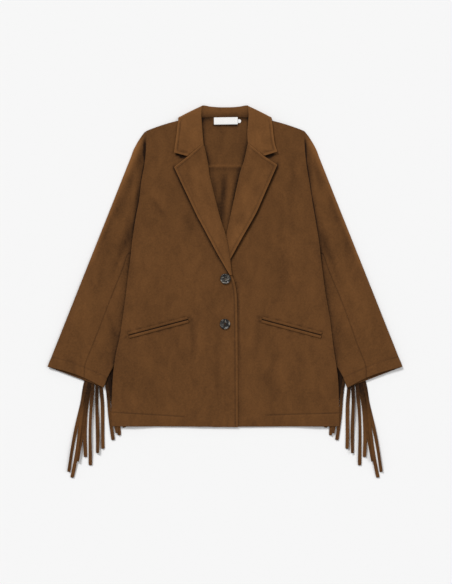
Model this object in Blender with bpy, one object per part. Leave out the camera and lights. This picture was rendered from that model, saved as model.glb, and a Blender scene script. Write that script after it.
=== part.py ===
"""A suede-look blazer with fringed sleeves, laid flat on its back and buttoned.

Sizes are in millimetres and turned to metres when a mesh is made. +X is to the
right of the jacket as seen from above, +Y runs from the hem to the collar, and
+Z is up. Heights along Y are counted from the hem until the last step, which
moves the whole jacket so that its box stands centred on the origin.
Each piece of cloth is a wall around a middle surface, made from sections.
"""

import math

import bpy
import numpy as np

MM = 0.001

# Cloth and seams
CLOTH = 1.2  # one layer of the suede cloth
DOUBLE = 2.0  # lapels, collar and stand: two layers sewn round
SEAM_GAP = 0.3
FOLD_GAP = 0.5  # between edges that meet along a curved seam
BODY_GAP = 0.4  # between the fronts and the back where they meet
BODY_LOFT = 0.9  # more room between them further in
LOFT_INWARD = (5.0, 70.0)
LOFT_HEIGHTS = (629.0, 699.0)

# Body, heights from the hem
YOKE_SEAM = 599.0
SHOULDER_END = 679.0
NECK_SEAM = 710.0
NECK_CORNER = (60.0, 711.0)
SHOULDER_HALF = 182.0
SHOULDER_BOW = 5.0
BOW_POWER = 0.7
BOW_ROWS = (0.86, 1.0)  # shares of the height over which the fronts take up the bow
HEM_DIP = 3.0
DIP_HEIGHTS = (0.0, 120.0)

# Half widths of the body: side edge up to the underarm at 402, then armhole
BODY_WIDTHS = [  # height, left, right
    (-4, 261, 263),
    (46, 261, 262),
    (104, 258, 260),
    (138, 255, 256),
    (169, 250, 251),
    (207, 241.5, 246),
    (249, 235, 241),
    (299, 228, 232),
    (350, 222, 225),
    (393, 216.5, 219.5),
    (402, 216, 219),
    (440, 211.5, 214),
    (482, 205, 207),
    (524, 197, 200),
    (562, 193, 194),
    (599, 186, 188),
    (635, 182, 184),
    (660, 181, 183),
    (672, 181.5, 183),
    (679, 182, 183),
]

# How far the side of the body lies raised over the sleeve and fringe below it
SIDE_RISE = [  # height, rise
    (-4, 3.9),
    (60, 3.9),
    (85, 5.0),
    (115, 7.7),
    (380, 7.7),
    (402, 5.6),
    (440, 1.9),
    (482, 0.9),
    (562, 0.5),
    (679, 0.3),
]
RISE_FLAT = 38.0  # the raised side stays level this far in
RISE_END = 112.0  # and has sunk to the floor this far in

# The yoke lies over the collar's fall at the back of the neck
NECK_RISE = 3.4
NECK_RISE_HEIGHTS = (540.0, 672.0)
NECK_RISE_HALF = (116.0, 172.0)

# Where the left front lies over the right one, and over its lapel's end
OVERLAP_RISE = 1.6
OVERLAP_X = (-105.0, -50.0)
OVERLAP_HEIGHTS = (430.0, 505.0)
HUMP_RISE = 2.5
HUMP_X = (-80.0, -28.0)
HUMP_LOW = (288.0, 352.0)
HUMP_HIGH = (432.0, 505.0)

# The largest soft folds. On the sleeves they are mirrored from the left.
FRONT_FOLDS = [  # from x, y; to x, y; half width; height
    (-176, 545, -128, 455, 26, 1.0),
    (150, 440, 140, 300, 24, 0.9),
    (90, 160, 138, 58, 26, 0.8),
    (-66, 170, -80, 50, 28, 0.7),
    (-160, 165, -172, 40, 30, 0.8),
    (168, 180, 178, 60, 28, 0.7),
]
BACK_FOLDS = [(5, 585, 4, 445, 11, 1.3)]
SLEEVE_FOLDS = [
    (-226, 545, -262, 425, 15, 0.8),
    (-268, 470, -318, 330, 18, 0.7),
    (-300, 300, -352, 190, 20, 0.8),
]

# The front's inner edges: the roll lines above the upper button
LEFT_FRONT_EDGE = [  # height, x
    (-4, 30),
    (166, 29.5),
    (278, 28),
    (313, 26),
    (337, 21),
    (353, 14),
    (395, 9),
    (437, 1),
    (468, -9),
    (488, -15),
    (577, -37),
    (596, -39),
    (640, -48),
    (651, -51),
    (711, -56),
]
RIGHT_FRONT_EDGE = [  # height, x
    (-4, -28),
    (278, -28),
    (315, -26),
    (354, -14),
    (402, -3),
    (428, 2),
    (451, 7),
    (488, 15),
    (582, 36),
    (609, 45),
    (649, 54),
    (665, 57),
    (711, 59),
]

# Rows of the body's pieces, as heights on the side edge and armhole
BODY_ROWS = [-4, 28, 60, 85, 115, 150, 186, 222, 260, 299, 326, 352, 380, 402, 421, 440, 461, 482, 524, 562, 599, 617,
             635, 660, 672, 679]
BACK_ROWS = [-4, 60, 85, 115, 160, 210, 255, 299, 340, 380, 402, 421, 440, 482, 524, 562, 598.7]
YOKE_TOP_ROWS = 5
FRONT_COLUMNS = [0, 0.027, 0.069, 0.13, 0.19, 0.25, 0.32, 0.39, 0.5, 0.61, 0.72, 0.83, 0.93, 1]
HALF_COLUMNS = [1, 0.97, 0.92, 0.855, 0.79, 0.72, 0.645, 0.56, 0.42, 0.21, 0.07]

# Lapels, from the button end up to the tip of the notch
LEFT_LAPEL_EDGE = [(4, 357), (-11, 384), (-18, 396), (-57, 471), (-66, 488), (-117, 596)]
RIGHT_LAPEL_EDGE = [(-3, 362), (13, 386), (37, 430), (70, 488), (85, 521), (120, 601)]
LAPEL_END = (357.0, 362.0)
ROLL_TOP = 651.0
NOTCH_CORNERS = ((-85.5, 620.9), (89.2, 621.7))  # where gorge seam and notch meet
LAPEL_REST = 0.1  # on top of the seam gap, because the front below is curved
LAPEL_ROWS = 12
LAPEL_COLUMNS = 4

# Collar: the fall in sections, left half, from the gorge round to the centre
FALL_SECTIONS = [  # roll x, y, drop below the wing; edge x, y; length past the turn
    (-53.0, 672.0, 0, -114, 650, None),
    (-54.5, 692.0, 0, -111, 671, None),
    (-55.5, 705.0, 0, -109, 692, None),
    (-56.0, 711.0, 0, -108, 706, None),
    (-56.0, 714.0, 0, -107, 709, 2.0),
    (-55.9, 716.5, 0, -103, 711.5, 9.0),
    (-55.7, 718.5, 0.1, -98, 714.2, 14.0),
    (-55.4, 722.0, 0.3, -90, 718.6, 25.0),
    (-54.8, 728.0, 1.0, -78, 725, 36.0),
    (-54.0, 734.0, 2.4, -66, 731.5, 44.0),
    (-50.0, 737.2, 4.9, -56, 738, 49.0),
    (-38.0, 736.0, None, None, None, 51.0),
    (-19.0, 734.0, None, None, None, 50.0),
]
FALL_CENTRE = (0.0, 733.0, None, None, None, 49.5)
FALL_FRONTS = (  # the wings' front edges: roll end of the gorge seam, notch, tip
    ((-51.0, 651.2), (-86.0, 621.4), (-117.0, 629.5)),
    ((54.1, 651.5), (89.6, 622.2), (120.0, 631.5)),
)
GORGE_STEPS = 5  # of the fall's steps lie along the gorge seam
TURN_OUT = (-0.48, 0.877)  # the way the fall's turned edge faces, left half
TURN_RADIUS = 2.8
UNDER_HEIGHT = 1.3
FALL_STEPS = 13
TOP_STEPS = 9  # of them run on top, up to where the fall turns
TOP_SHARE = 0.9  # of a wing's width, where nothing turns

# The band that stands inside the back neck
STAND_LOW = 710.4
STAND_ROWS = [  # share of the way up, middle height
    (0, 4.5),
    (0.35, 4.8),
    (0.75, 4.8),
    (1, 4.3),
]
STAND_COLUMNS = 10
STAND_HALF_LOW = 54.5
STAND_HALF_TOP = 45.5
STAND_TOP = (733.0, 738.0)  # at the centre and at the ends

# Sleeves: sections from the cuff to the shoulder. The inner end is counted
# from the body's side edge at that height, and is tucked under it.
SLEEVE_SECTIONS = [  # outer y, inner y, tuck, front seam, back seam, floor, loft
    (138, 90, -20.4, 0.639, 0.609, 3.5, 1.2),
    (166, 118, -11, 0.572, 0.596, 3.5, 1.2),
    (213, 158, 7, 0.542, 0.559, 3.5, 1.1),
    (279, 217, 23, 0.522, 0.524, 3.5, 1.1),
    (346, 284, 31, 0.549, 0.509, 3.3, 1.1),
    (403, 335, 33, 0.599, 0.524, 2.0, 1.1),
    (455, 372, 20, 0.702, 0.637, 0.9, 1.0),
    (494, 401.5, -0.5, 0.96, 0.871, 0.3, 0.9),
]
CAP_SECTIONS = [  # outer y, inner y on the armhole
    (522, 440),
    (552.5, 482),
    (581, 524),
    (606, 562),
    (630, 599),
    (651, 635),
    (665.5, 660),
    (677, 672),
]
CAP_FLOOR = 0.3
CAP_LOFT = 0.6
SLEEVE_OUTER = [(138, 407), (619, 216), (636, 210), (653, 201), (667, 192), (679, 182.5)]  # y, half width
SLEEVE_PUFF = 1.6
PUFF_WIDTH = 34.0
PUFF_CLEAR = 45.0  # no puff this near the inner edge
CAP_CLEAR = 22.0  # above the underarm the puff starts beside the armhole
CUFF_BOW = 6.0
SHARE_GAP = 0.45

# Fringe: a strip along the sleeve's back seam, and a row for each strand
STRIP_LOW = (-327.0, 118.0)
STRIP_HIGH = (-286.0, 231.0)
STRIP_WIDTH = 5.0
STRAND = 9.0
STRAND_THICK = 0.8
STRAND_LEVELS = (0.3, 1.35, 2.4)
ROOT_SHARE = 0.66
STRANDS = [  # cuff x, y; middle x, y; end x, y
    (-321, 99, -341, -4, -360, -104),
    (-315, 99, -333, -9, -353, -117),
    (-312, 99, -326, 10, -338, -80),
    (-308, 99, -320, 39, -320, -70),
    (-304, 97, -308, 9, -311, -89),
    (-294, 97, -294, 18, -293, -61),
    (-285, 92, -282, 21, -279, -51),
    (-270, 88, -264, 28, -257, -31),
    (-260, 75, -254, 30, -249, -15),
    (-256, 75, -248, 28, -242, -20),
    (-251, 85, -240, 40, -230, -2),
]
STRAND_RINGS = 6

# Pockets: two welts each, from the side end to the front end
WELT_SIDE_END = (-221.0, 210.5)
WELT_FRONT_END = (-84.5, 246.5)
WELT_WIDTH = 6.0
WELT_SLIT = 0.8
WELT_COLUMNS = 9

# Buttons
BUTTONS = [("button_upper", 1.0, 340.0), ("button_lower", 0.0, 236.0)]
BUTTON_PROFILE = [(0, 0), (9.5, 0), (12.2, 1.2), (12.3, 2.6), (11.2, 3.6), (9.6, 3.5), (8.3, 2.7), (0, 2.4)]
BUTTON_SIDES = 24
BUTTON_HOLE = 1.1
BUTTON_HOLE_OUT = 2.5
HOLE_SIDES = 6

# Label inside the neck
LABEL_CENTRE = (2.0, 701.2)
LABEL_SIZE = (55.0, 16.6)
LABEL_TURN = math.radians(0.8)
LABEL_THICK = 1.0
TAB_LENGTH = 8.0
TAB_HALF = 4.2

COLOURS = {  # linear colour, roughness
    "suede": ((0.130, 0.062, 0.021), 0.9),
    "horn": ((0.030, 0.026, 0.024), 0.3),
    "label": ((0.85, 0.84, 0.82), 0.7),
}


def remove_scene():
    for thing in list(bpy.data.objects):
        bpy.data.objects.remove(thing, do_unlink=True)


def material(name):
    colour, roughness = COLOURS[name]
    made = bpy.data.materials.get(name)
    if made:
        return made
    made = bpy.data.materials.new(name)
    made.use_nodes = True
    shader = made.node_tree.nodes["Principled BSDF"]
    shader.inputs["Base Color"].default_value = (*colour, 1)
    shader.inputs["Roughness"].default_value = roughness
    shader.inputs["Metallic"].default_value = 0
    return made


def make_object(name, points, faces, finish):
    mesh = bpy.data.meshes.new(name)
    mesh.from_pydata([tuple(MM * c for c in p) for p in points], [], faces)
    mesh.validate()
    mesh.materials.append(material(finish))
    mesh.shade_smooth()
    mesh.set_sharp_from_angle(angle=math.radians(35))
    made = bpy.data.objects.new(name, mesh)
    bpy.context.scene.collection.objects.link(made)
    return made


def ease(value, low, high):
    """0 below low, 1 above high and smooth between."""
    t = np.clip((np.asarray(value, float) - low) / (high - low), 0, 1)
    return t * t * (3 - 2 * t)


def smooth_line(points, steps=8):
    """A Catmull-Rom curve through the points, as a dense polyline."""
    p = np.asarray(points, float)
    p = np.vstack([2 * p[0] - p[1], p, 2 * p[-1] - p[-2]])
    t = np.linspace(0, 1, steps, endpoint=False)[:, None]
    parts = []
    for a, b, c, d in zip(p[:-3], p[1:-2], p[2:-1], p[3:]):
        parts.append(
            0.5 * (2 * b + (c - a) * t + (2 * a - 5 * b + 4 * c - d) * t**2 + (3 * b - a - 3 * c + d) * t**3)
        )
    return np.vstack([*parts, p[-2:-1]])


def along(points, shares):
    """The places at the given shares of a polyline's length."""
    p = np.asarray(points, float)
    run = np.concatenate([[0], np.cumsum(np.linalg.norm(np.diff(p, axis=0), axis=1))])
    at = np.asarray(shares, float) * run[-1]
    return np.stack([np.interp(at, run, p[:, k]) for k in range(p.shape[1])], axis=-1)


def edge_x(table, height):
    """The x of an edge at a height, from a table of height and x."""
    curve = smooth_line(table)
    return np.interp(height, curve[:, 0], curve[:, 1])


def half_width(side, height):
    """How far the body reaches from the centre: side is -1 left or 1 right."""
    column = 1 if side < 0 else 2
    return np.interp(height, [row[0] for row in BODY_WIDTHS], [row[column] for row in BODY_WIDTHS])


def back_floor(x, y):
    """The underside of the back and yoke."""
    side = np.where(x < 0, -1, 1)
    width = np.where(side < 0, half_width(-1, y), half_width(1, y))
    inward = width - np.abs(x)
    rise = np.interp(y, [row[0] for row in SIDE_RISE], [row[1] for row in SIDE_RISE])
    neck = NECK_RISE * ease(y, *NECK_RISE_HEIGHTS) * (1 - ease(np.abs(x), *NECK_RISE_HALF))
    return rise * (1 - ease(inward, RISE_FLAT, RISE_END)) + neck


def folds(table, x, y):
    """Soft ridges along straight lines, tapered towards their ends."""
    total = np.zeros(np.broadcast(x, y).shape)
    for from_x, from_y, to_x, to_y, half, height in table:
        run_x, run_y = to_x - from_x, to_y - from_y
        length = math.hypot(run_x, run_y)
        share = ((x - from_x) * run_x + (y - from_y) * run_y) / length**2
        aside = ((x - from_x) * run_y - (y - from_y) * run_x) / length
        total = total + height * np.exp(-((aside / half) ** 2)) * ease(share, -0.15, 0.3) * (1 - ease(share, 0.7, 1.15))
    return total


def back_middle(x, y):
    return back_floor(x, y) + folds(BACK_FOLDS, x, y) + CLOTH / 2


def front_middle(x, y):
    """The right front, and the left one where nothing lies under it."""
    side = np.where(x < 0, -1, 1)
    width = np.where(side < 0, half_width(-1, y), half_width(1, y))
    room = BODY_GAP + BODY_LOFT * ease(width - np.abs(x), *LOFT_INWARD) * (1 - ease(y, *LOFT_HEIGHTS))
    return back_floor(x, y) + CLOTH + room + folds(FRONT_FOLDS, x, y) + CLOTH / 2


def left_front_middle(x, y):
    overlap = OVERLAP_RISE * ease(x, *OVERLAP_X) * (1 - ease(y, *OVERLAP_HEIGHTS))
    hump = HUMP_RISE * ease(x, *HUMP_X) * ease(y, *HUMP_LOW) * (1 - ease(y, *HUMP_HIGH))
    return front_middle(x, y) + overlap + hump


def front_surface(side):
    return left_front_middle if side < 0 else front_middle


def normals(middle):
    """Unit normals of a grid of points, facing up where it lies flat."""
    down = np.gradient(middle, axis=0)
    across = np.gradient(middle, axis=1)
    normal = np.cross(across, down)
    return normal / np.linalg.norm(normal, axis=2, keepdims=True)


def wall(name, middle, thick, finish="suede"):
    """A closed wall around a grid of middle points: rows run up, columns across."""
    rows, columns = middle.shape[:2]
    normal = normals(middle)
    points = np.concatenate([(middle + normal * thick / 2).reshape(-1, 3), (middle - normal * thick / 2).reshape(-1, 3)])
    lower = rows * columns
    faces = []
    for r in range(rows - 1):
        for c in range(columns - 1):
            a = r * columns + c
            quad = (a, a + 1, a + columns + 1, a + columns)
            faces.append(quad)
            faces.append(tuple(lower + v for v in reversed(quad)))
    rim = [c for c in range(columns)]
    rim += [r * columns + columns - 1 for r in range(1, rows)]
    rim += [(rows - 1) * columns + c for c in range(columns - 2, -1, -1)]
    rim += [r * columns for r in range(rows - 2, 0, -1)]
    for a, b in zip(rim, rim[1:] + rim[:1]):
        faces.append((b, a, lower + a, lower + b))
    return make_object(name, points, faces, finish)


def lift(plan, surface, extra=0.0):
    """Turns a grid of x, y into points on a surface."""
    return np.dstack([plan, surface(plan[..., 0], plan[..., 1]) + extra])


def shoulder_bow(share):
    return SHOULDER_BOW * np.sin(math.pi * share) ** BOW_POWER


def shoulder_line(share):
    """The shoulder edge of the left half, from the sleeve in to the neck."""
    x = -SHOULDER_HALF + share * (SHOULDER_HALF - NECK_CORNER[0])
    return x, SHOULDER_END + share * (NECK_CORNER[1] - SHOULDER_END) + shoulder_bow(share)


def body_top(x):
    """The upper edge of the yoke at a distance from the centre line."""
    share = np.clip((SHOULDER_HALF - np.abs(x)) / (SHOULDER_HALF - NECK_CORNER[0]), 0, 1)
    shoulder = shoulder_line(share)[1]
    inside = NECK_SEAM + (NECK_CORNER[1] - NECK_SEAM) * ease(np.abs(x), 50, NECK_CORNER[0])
    return np.where(np.abs(x) < NECK_CORNER[0], inside, shoulder)


def front_plan(side):
    """A front's grid in plan, from the side edge to the front edge."""
    table = LEFT_FRONT_EDGE if side < 0 else RIGHT_FRONT_EDGE
    low, high = BODY_ROWS[0], BODY_ROWS[-1]
    share = np.array(FRONT_COLUMNS)
    plan = []
    for height in BODY_ROWS:
        v = (height - low) / (high - low)
        inner_height = low + v * (NECK_CORNER[1] - low)
        outer = side * half_width(side, height)
        inner = edge_x(table, inner_height)
        if v == 1:
            inner = side * NECK_CORNER[0]
        x = outer + share * (inner - outer)
        y = height + share * (inner_height - height)
        y += shoulder_bow(share) * ease(v, *BOW_ROWS)
        y -= HEM_DIP * share * (1 - ease(height, *DIP_HEIGHTS))
        plan.append(np.stack([x, y], axis=-1))
    plan = np.array(plan)
    return plan if side < 0 else plan[:, ::-1]


def fronts():
    for side, name in ((-1, "front_left"), (1, "front_right")):
        wall(name, lift(front_plan(side), front_surface(side)), CLOTH)


def body_columns():
    left = [-u for u in HALF_COLUMNS]
    return np.array(left + [0] + HALF_COLUMNS[::-1])


def back():
    plan = []
    columns = body_columns()
    for height in BACK_ROWS:
        x = np.where(columns < 0, half_width(-1, height), half_width(1, height)) * columns
        dip = HEM_DIP * (1 - np.abs(columns)) * (1 - ease(height, *DIP_HEIGHTS))
        plan.append(np.stack([x, height - dip], axis=-1))
    wall("back", lift(np.array(plan), back_middle), CLOTH)


def back_yoke():
    columns = body_columns()
    low = YOKE_SEAM
    plan = []
    for share in np.linspace(0, 1, YOKE_TOP_ROWS):
        edge_height = low + share * (SHOULDER_END - low)
        x = np.where(columns < 0, half_width(-1, edge_height), half_width(1, edge_height)) * columns
        y = low + share * (body_top(x) - low)
        plan.append(np.stack([x, y], axis=-1))
    wall("back_yoke", lift(np.array(plan), back_middle), CLOTH)


def lapel(side, name):
    """A lapel lies on its front, between the roll line and its outer edge."""
    roll_table = LEFT_FRONT_EDGE if side < 0 else RIGHT_FRONT_EDGE
    outline = LEFT_LAPEL_EDGE if side < 0 else RIGHT_LAPEL_EDGE
    end = LAPEL_END[0] if side < 0 else LAPEL_END[1]
    heights = np.linspace(end, ROLL_TOP, LAPEL_ROWS + 1)
    roll = np.stack([edge_x(roll_table, heights) - side, heights], axis=-1)
    share = (heights - end) / (ROLL_TOP - end)
    outer = along(smooth_line(outline), share)
    across = np.linspace(0, 1, LAPEL_COLUMNS + 1)
    plan = outer[:, None] + (roll - outer)[:, None] * across[None, :, None]
    corner = NOTCH_CORNERS[0] if side < 0 else NOTCH_CORNERS[1]
    straight = (outer[-1] + roll[-1]) / 2
    bend = 1 - np.abs(2 * across - 1)
    plan += (np.array(corner) - straight) * (bend * ease(share, 0.8, 1)[:, None])[..., None]
    if side > 0:
        plan = plan[:, ::-1]
    wall(name, lift(plan, front_surface(side), CLOTH / 2 + SEAM_GAP + LAPEL_REST + DOUBLE / 2), DOUBLE)


def wing_height(x, y):
    """The middle of the wing, which lies on the front's shoulder."""
    return float(front_middle(np.array(x), np.array(y))) + CLOTH / 2 + SEAM_GAP + LAPEL_REST + DOUBLE / 2


def fall_section(row, mirror):
    """One section of the collar's fall, from the roll to its outer edge."""
    roll_x, roll_y, drop, _, _, past = row
    if drop is None:
        ends = [(roll_x, roll_y, UNDER_HEIGHT), (roll_x * 1.05, roll_y - past, UNDER_HEIGHT)]
        section = along(ends, np.linspace(0, 1, FALL_STEPS))
    elif past is None:
        section = wing_section(row)
    else:
        section = turned_section(row)
    if mirror:
        section[:, 0] *= -1
    return section


def on_front(plan):
    return np.array([(x, y, wing_height(x, y)) for x, y in plan])


def wing_section(row):
    """A section that lies on the front all the way."""
    top = np.linspace(0, TOP_SHARE, TOP_STEPS)
    last = np.linspace(TOP_SHARE, 1, FALL_STEPS - TOP_STEPS + 1)
    return on_front(along([row[:2], row[3:5]], np.concatenate([top, last[1:]])))


def wing_front(roll, notch, tip):
    """The front edge of a wing: the gorge seam, then the free edge of the notch."""
    gorge = along([roll, notch], np.linspace(0, 1, GORGE_STEPS + 1))
    free = along([notch, tip], np.linspace(0, 1, FALL_STEPS - GORGE_STEPS))
    return on_front(np.vstack([gorge, free[1:]]))


def turned_section(row):
    """A section that turns round the shoulder or neck and runs on below."""
    roll_x, roll_y, drop, edge_place_x, edge_y, past = row
    out = np.array(TURN_OUT)
    centre = np.array([edge_place_x, edge_y]) - out * TURN_RADIUS
    high = wing_height(*centre) - drop
    middle = (high + UNDER_HEIGHT) / 2
    radius = max((high - UNDER_HEIGHT) / 2, 0.7)
    start = (roll_x, roll_y, wing_height(roll_x, roll_y) - drop)
    top = along([start, (*centre, high)], np.linspace(0, 1, TOP_STEPS))
    whole_turn = math.pi * (TURN_RADIUS + radius) / 2
    last = FALL_STEPS - TOP_STEPS
    if past > whole_turn:
        turns = np.linspace(0, math.pi, last)[1:]
    else:
        turns = np.linspace(0, math.pi * past / whole_turn, last + 1)[1:]
    arc = [(*(centre + out * TURN_RADIUS * math.sin(a)), middle + radius * math.cos(a)) for a in turns]
    if past > whole_turn:
        under = np.array([roll_x * 1.04, roll_y - 50.0]) - centre
        tail = centre + under / np.linalg.norm(under) * (past - whole_turn)
        arc.append((*tail, UNDER_HEIGHT))
    return np.vstack([top, arc])


def collar():
    left = [wing_front(*FALL_FRONTS[0])] + [fall_section(row, False) for row in FALL_SECTIONS]
    right = [fall_section(row, True) for row in reversed(FALL_SECTIONS)] + [wing_front(*FALL_FRONTS[1])]
    sections = np.array([*left, fall_section(FALL_CENTRE, False), *right])
    wall("collar", sections[:, ::-1], DOUBLE)


def collar_stand():
    across = np.linspace(-1, 1, STAND_COLUMNS + 1)
    grid = []
    for share, height in STAND_ROWS:
        half = STAND_HALF_LOW + share * (STAND_HALF_TOP - STAND_HALF_LOW)
        top = STAND_TOP[0] + (STAND_TOP[1] - STAND_TOP[0]) * across**2
        x = across * half
        y = STAND_LOW + share * (top - STAND_LOW)
        grid.append(np.stack([x, y, np.full_like(x, height)], axis=-1))
    wall("collar_stand", np.array(grid), DOUBLE)


def sleeve_sections(side):
    """Each section's outer and inner end in plan, seam shares, floor and loft."""
    outer_table = np.array(SLEEVE_OUTER)
    made = []
    for outer_y, inner_y, tuck, front, rear, floor, loft in SLEEVE_SECTIONS:
        outer = np.array([side * np.interp(outer_y, *outer_table.T), outer_y])
        inner = np.array([side * (half_width(side, inner_y) - tuck), inner_y])
        if -1 < tuck < 0:
            inner[0] = side * (half_width(side, inner_y) + FOLD_GAP)
        made.append((outer, inner, front, rear, floor, loft))
    for outer_y, inner_y in CAP_SECTIONS:
        outer = np.array([side * np.interp(outer_y, *outer_table.T), outer_y])
        inner = np.array([side * (half_width(side, inner_y) + FOLD_GAP), inner_y])
        made.append((outer, inner, 1.0, 1.0, CAP_FLOOR, CAP_LOFT))
    return made


def sleeve_layer(section, share, first):
    """A point of the sleeve's upper layer at a share of its width."""
    outer, inner, front, rear, floor, loft = section
    width = np.linalg.norm(inner - outer)
    place = outer + (inner - outer) * share
    from_outer = share * width
    from_inner = (1 - share) * width
    puff = SLEEVE_PUFF * (1 - (1 - min(from_outer / PUFF_WIDTH, 1)) ** 2)
    puff *= float(ease(from_inner, PUFF_CLEAR, PUFF_CLEAR + 30) if front < 1 else ease(from_inner, 0, CAP_CLEAR))
    clear = float(ease(from_outer, 0, 30) * ease(from_inner, PUFF_CLEAR / 2, PUFF_CLEAR))
    puff += clear * float(folds(SLEEVE_FOLDS, -abs(place[0]), place[1]))
    if first:
        run = (outer - inner) / width
        place = place + np.array([run[1], -run[0]]) * (1 if run[0] < 0 else -1) * CUFF_BOW * math.sin(math.pi * share)
    return np.array([*place, floor + CLOTH * 1.5 + loft + puff])


def fold_round(section, at_outer, steps=5):
    """Points round the pressed fold at one end, from the upper layer down."""
    outer, inner, front, rear, floor, loft = section
    radius = (CLOTH + loft) / 2
    end, other = (outer, inner) if at_outer else (inner, outer)
    out = (end - other) / np.linalg.norm(end - other)
    centre = end - out * radius
    middle = floor + CLOTH / 2 + radius
    return [
        np.array([*(centre + out * radius * math.sin(a)), middle + radius * math.cos(a)])
        for a in np.linspace(0, math.pi, steps)
    ]


def sleeve_top(side, name):
    """From the front seam round the outer edge to the back seam."""
    grid = []
    for index, section in enumerate(sleeve_sections(side)):
        outer, inner, front, rear, floor, loft = section
        width = np.linalg.norm(inner - outer)
        front_end = front if front == 1 else front - SHARE_GAP / width
        rear_end = rear if rear == 1 else rear - SHARE_GAP / width
        start = 3.0 * (CLOTH + loft) / 2 / width
        shares = front_end + (start - front_end) * np.array([0, 0.18, 0.4, 0.62, 0.8, 0.93, 1])
        row = [sleeve_layer(section, s, index == 0) for s in shares]
        row += fold_round(section, True)
        for share in start + (rear_end - start) * np.array([0, 0.3, 0.65, 1]):
            row.append(np.array([*(outer + (inner - outer) * share), floor + CLOTH / 2]))
        grid.append(row)
    grid = np.array(grid)
    if side < 0:
        grid = grid[:, ::-1]
    wall(name, grid, CLOTH)


def sleeve_under(side, name):
    """From the front seam round the inner, tucked edge to the back seam."""
    grid = []
    for index, section in enumerate(sleeve_sections(side)[: len(SLEEVE_SECTIONS)]):
        outer, inner, front, rear, floor, loft = section
        width = np.linalg.norm(inner - outer)
        stop = 1 - 2.2 * (CLOTH + loft) / 2 / width
        front_end = min(front + SHARE_GAP / width, stop - 0.02)
        rear_end = min(rear + SHARE_GAP / width, stop - 0.04)
        row = [sleeve_layer(section, s, index == 0) for s in np.linspace(front_end, stop, 5)]
        row += fold_round(section, False)
        for share in np.linspace(stop, rear_end, 4):
            row.append(np.array([*(outer + (inner - outer) * share), floor + CLOTH / 2]))
        grid.append(row)
    grid = np.array(grid)
    if side > 0:
        grid = grid[:, ::-1]
    wall(name, grid, CLOTH)


def fringe(side, name):
    """A ladder-like strip whose inner side grows a strand at every other step."""
    low = np.array(STRIP_LOW)
    run = np.array(STRIP_HIGH) - low
    length = np.linalg.norm(run)
    run = run / length
    inward = np.array([run[1], -run[0]])
    pitch = length / len(STRANDS)
    stops = [0.0]
    for k in range(len(STRANDS)):
        start = (k + 0.5 - ROOT_SHARE / 2) * pitch
        stops += [start, start + ROOT_SHARE * pitch]
    stops.append(length)
    levels = [z for base in STRAND_LEVELS for z in (base, base + STRAND_THICK)]
    ring = len(levels) + 2
    points = []
    faces = []
    for stop in stops:
        place = low + run * stop
        points += [np.array([*(place + inward * STRIP_WIDTH / 2), z]) for z in levels]
        points += [np.array([*(place - inward * STRIP_WIDTH / 2), z]) for z in (levels[-1], levels[0])]
    roots = {}
    for s in range(len(stops) - 1):
        for k in range(ring):
            a, b = s * ring + k, s * ring + (k + 1) % ring
            quad = (a, a + ring, b + ring, b)
            strand = s // 2
            if s % 2 == 1 and k == 2 * (strand % len(STRAND_LEVELS)):
                roots[strand] = (a, a + ring, b + ring, b)
            else:
                faces.append(quad)
    faces.append(tuple(range(ring)))
    faces.append(tuple(len(points) - 1 - k for k in range(ring)))
    for strand, root in roots.items():
        add_strand(points, faces, strand, root, inward, run)
    if side > 0:
        points = [p * np.array([-1, 1, 1]) for p in points]
        faces = [tuple(reversed(f)) for f in faces]
    make_object(name, points, faces, "suede")


def add_strand(points, faces, strand, root, inward, run):
    """Grows one strand from its root face, as rings of four points."""
    base = STRAND_LEVELS[strand % len(STRAND_LEVELS)]
    cuff_x, cuff_y, middle_x, middle_y, end_x, end_y = STRANDS[strand]
    centre = sum(points[k] for k in root)[:2] / 4
    first = centre + inward * (STRAND / 2 + 1.0) - run * 4.0
    second = first + (np.array([cuff_x, cuff_y]) - first) * 0.25
    way = smooth_line([first, second, (cuff_x, cuff_y), (middle_x, middle_y), (end_x, end_y)])
    line = along(way, np.linspace(0, 1, STRAND_RINGS))
    heading = np.gradient(line, axis=0)
    heading /= np.linalg.norm(heading, axis=1, keepdims=True)
    previous = root
    for place, ahead in zip(line, heading):
        sideways = np.array([-ahead[1], ahead[0]]) * STRAND / 2
        start = len(points)
        low_z, high_z = base, base + STRAND_THICK
        points.append(np.array([*(place - sideways), low_z]))
        points.append(np.array([*(place + sideways), low_z]))
        points.append(np.array([*(place + sideways), high_z]))
        points.append(np.array([*(place - sideways), high_z]))
        current = (start, start + 1, start + 2, start + 3)
        for k in range(4):
            a, b = previous[k], previous[(k + 1) % 4]
            c, d = current[(k + 1) % 4], current[k]
            faces.append((a, b, c, d))
        previous = current
    faces.append(previous)


def welts(side, label):
    """Two narrow strips along the pocket slit, laid on the front."""
    start = np.array(WELT_SIDE_END)
    run = np.array(WELT_FRONT_END) - start
    up = np.array([-run[1], run[0]]) / np.linalg.norm(run)
    for name, first in ((f"welt_upper_{label}", WELT_SLIT / 2), (f"welt_lower_{label}", -WELT_SLIT / 2 - WELT_WIDTH)):
        plan = []
        for height in (first, first + WELT_WIDTH / 2, first + WELT_WIDTH):
            shares = np.linspace(0, 1, WELT_COLUMNS + 1)
            plan.append(start + run * shares[:, None] + up * height)
        plan = np.array(plan)
        if side > 0:
            plan[..., 0] *= -1
            plan = plan[:, ::-1]
        wall(name, lift(plan, front_surface(side), CLOTH + SEAM_GAP + 0.1), CLOTH)


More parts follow.
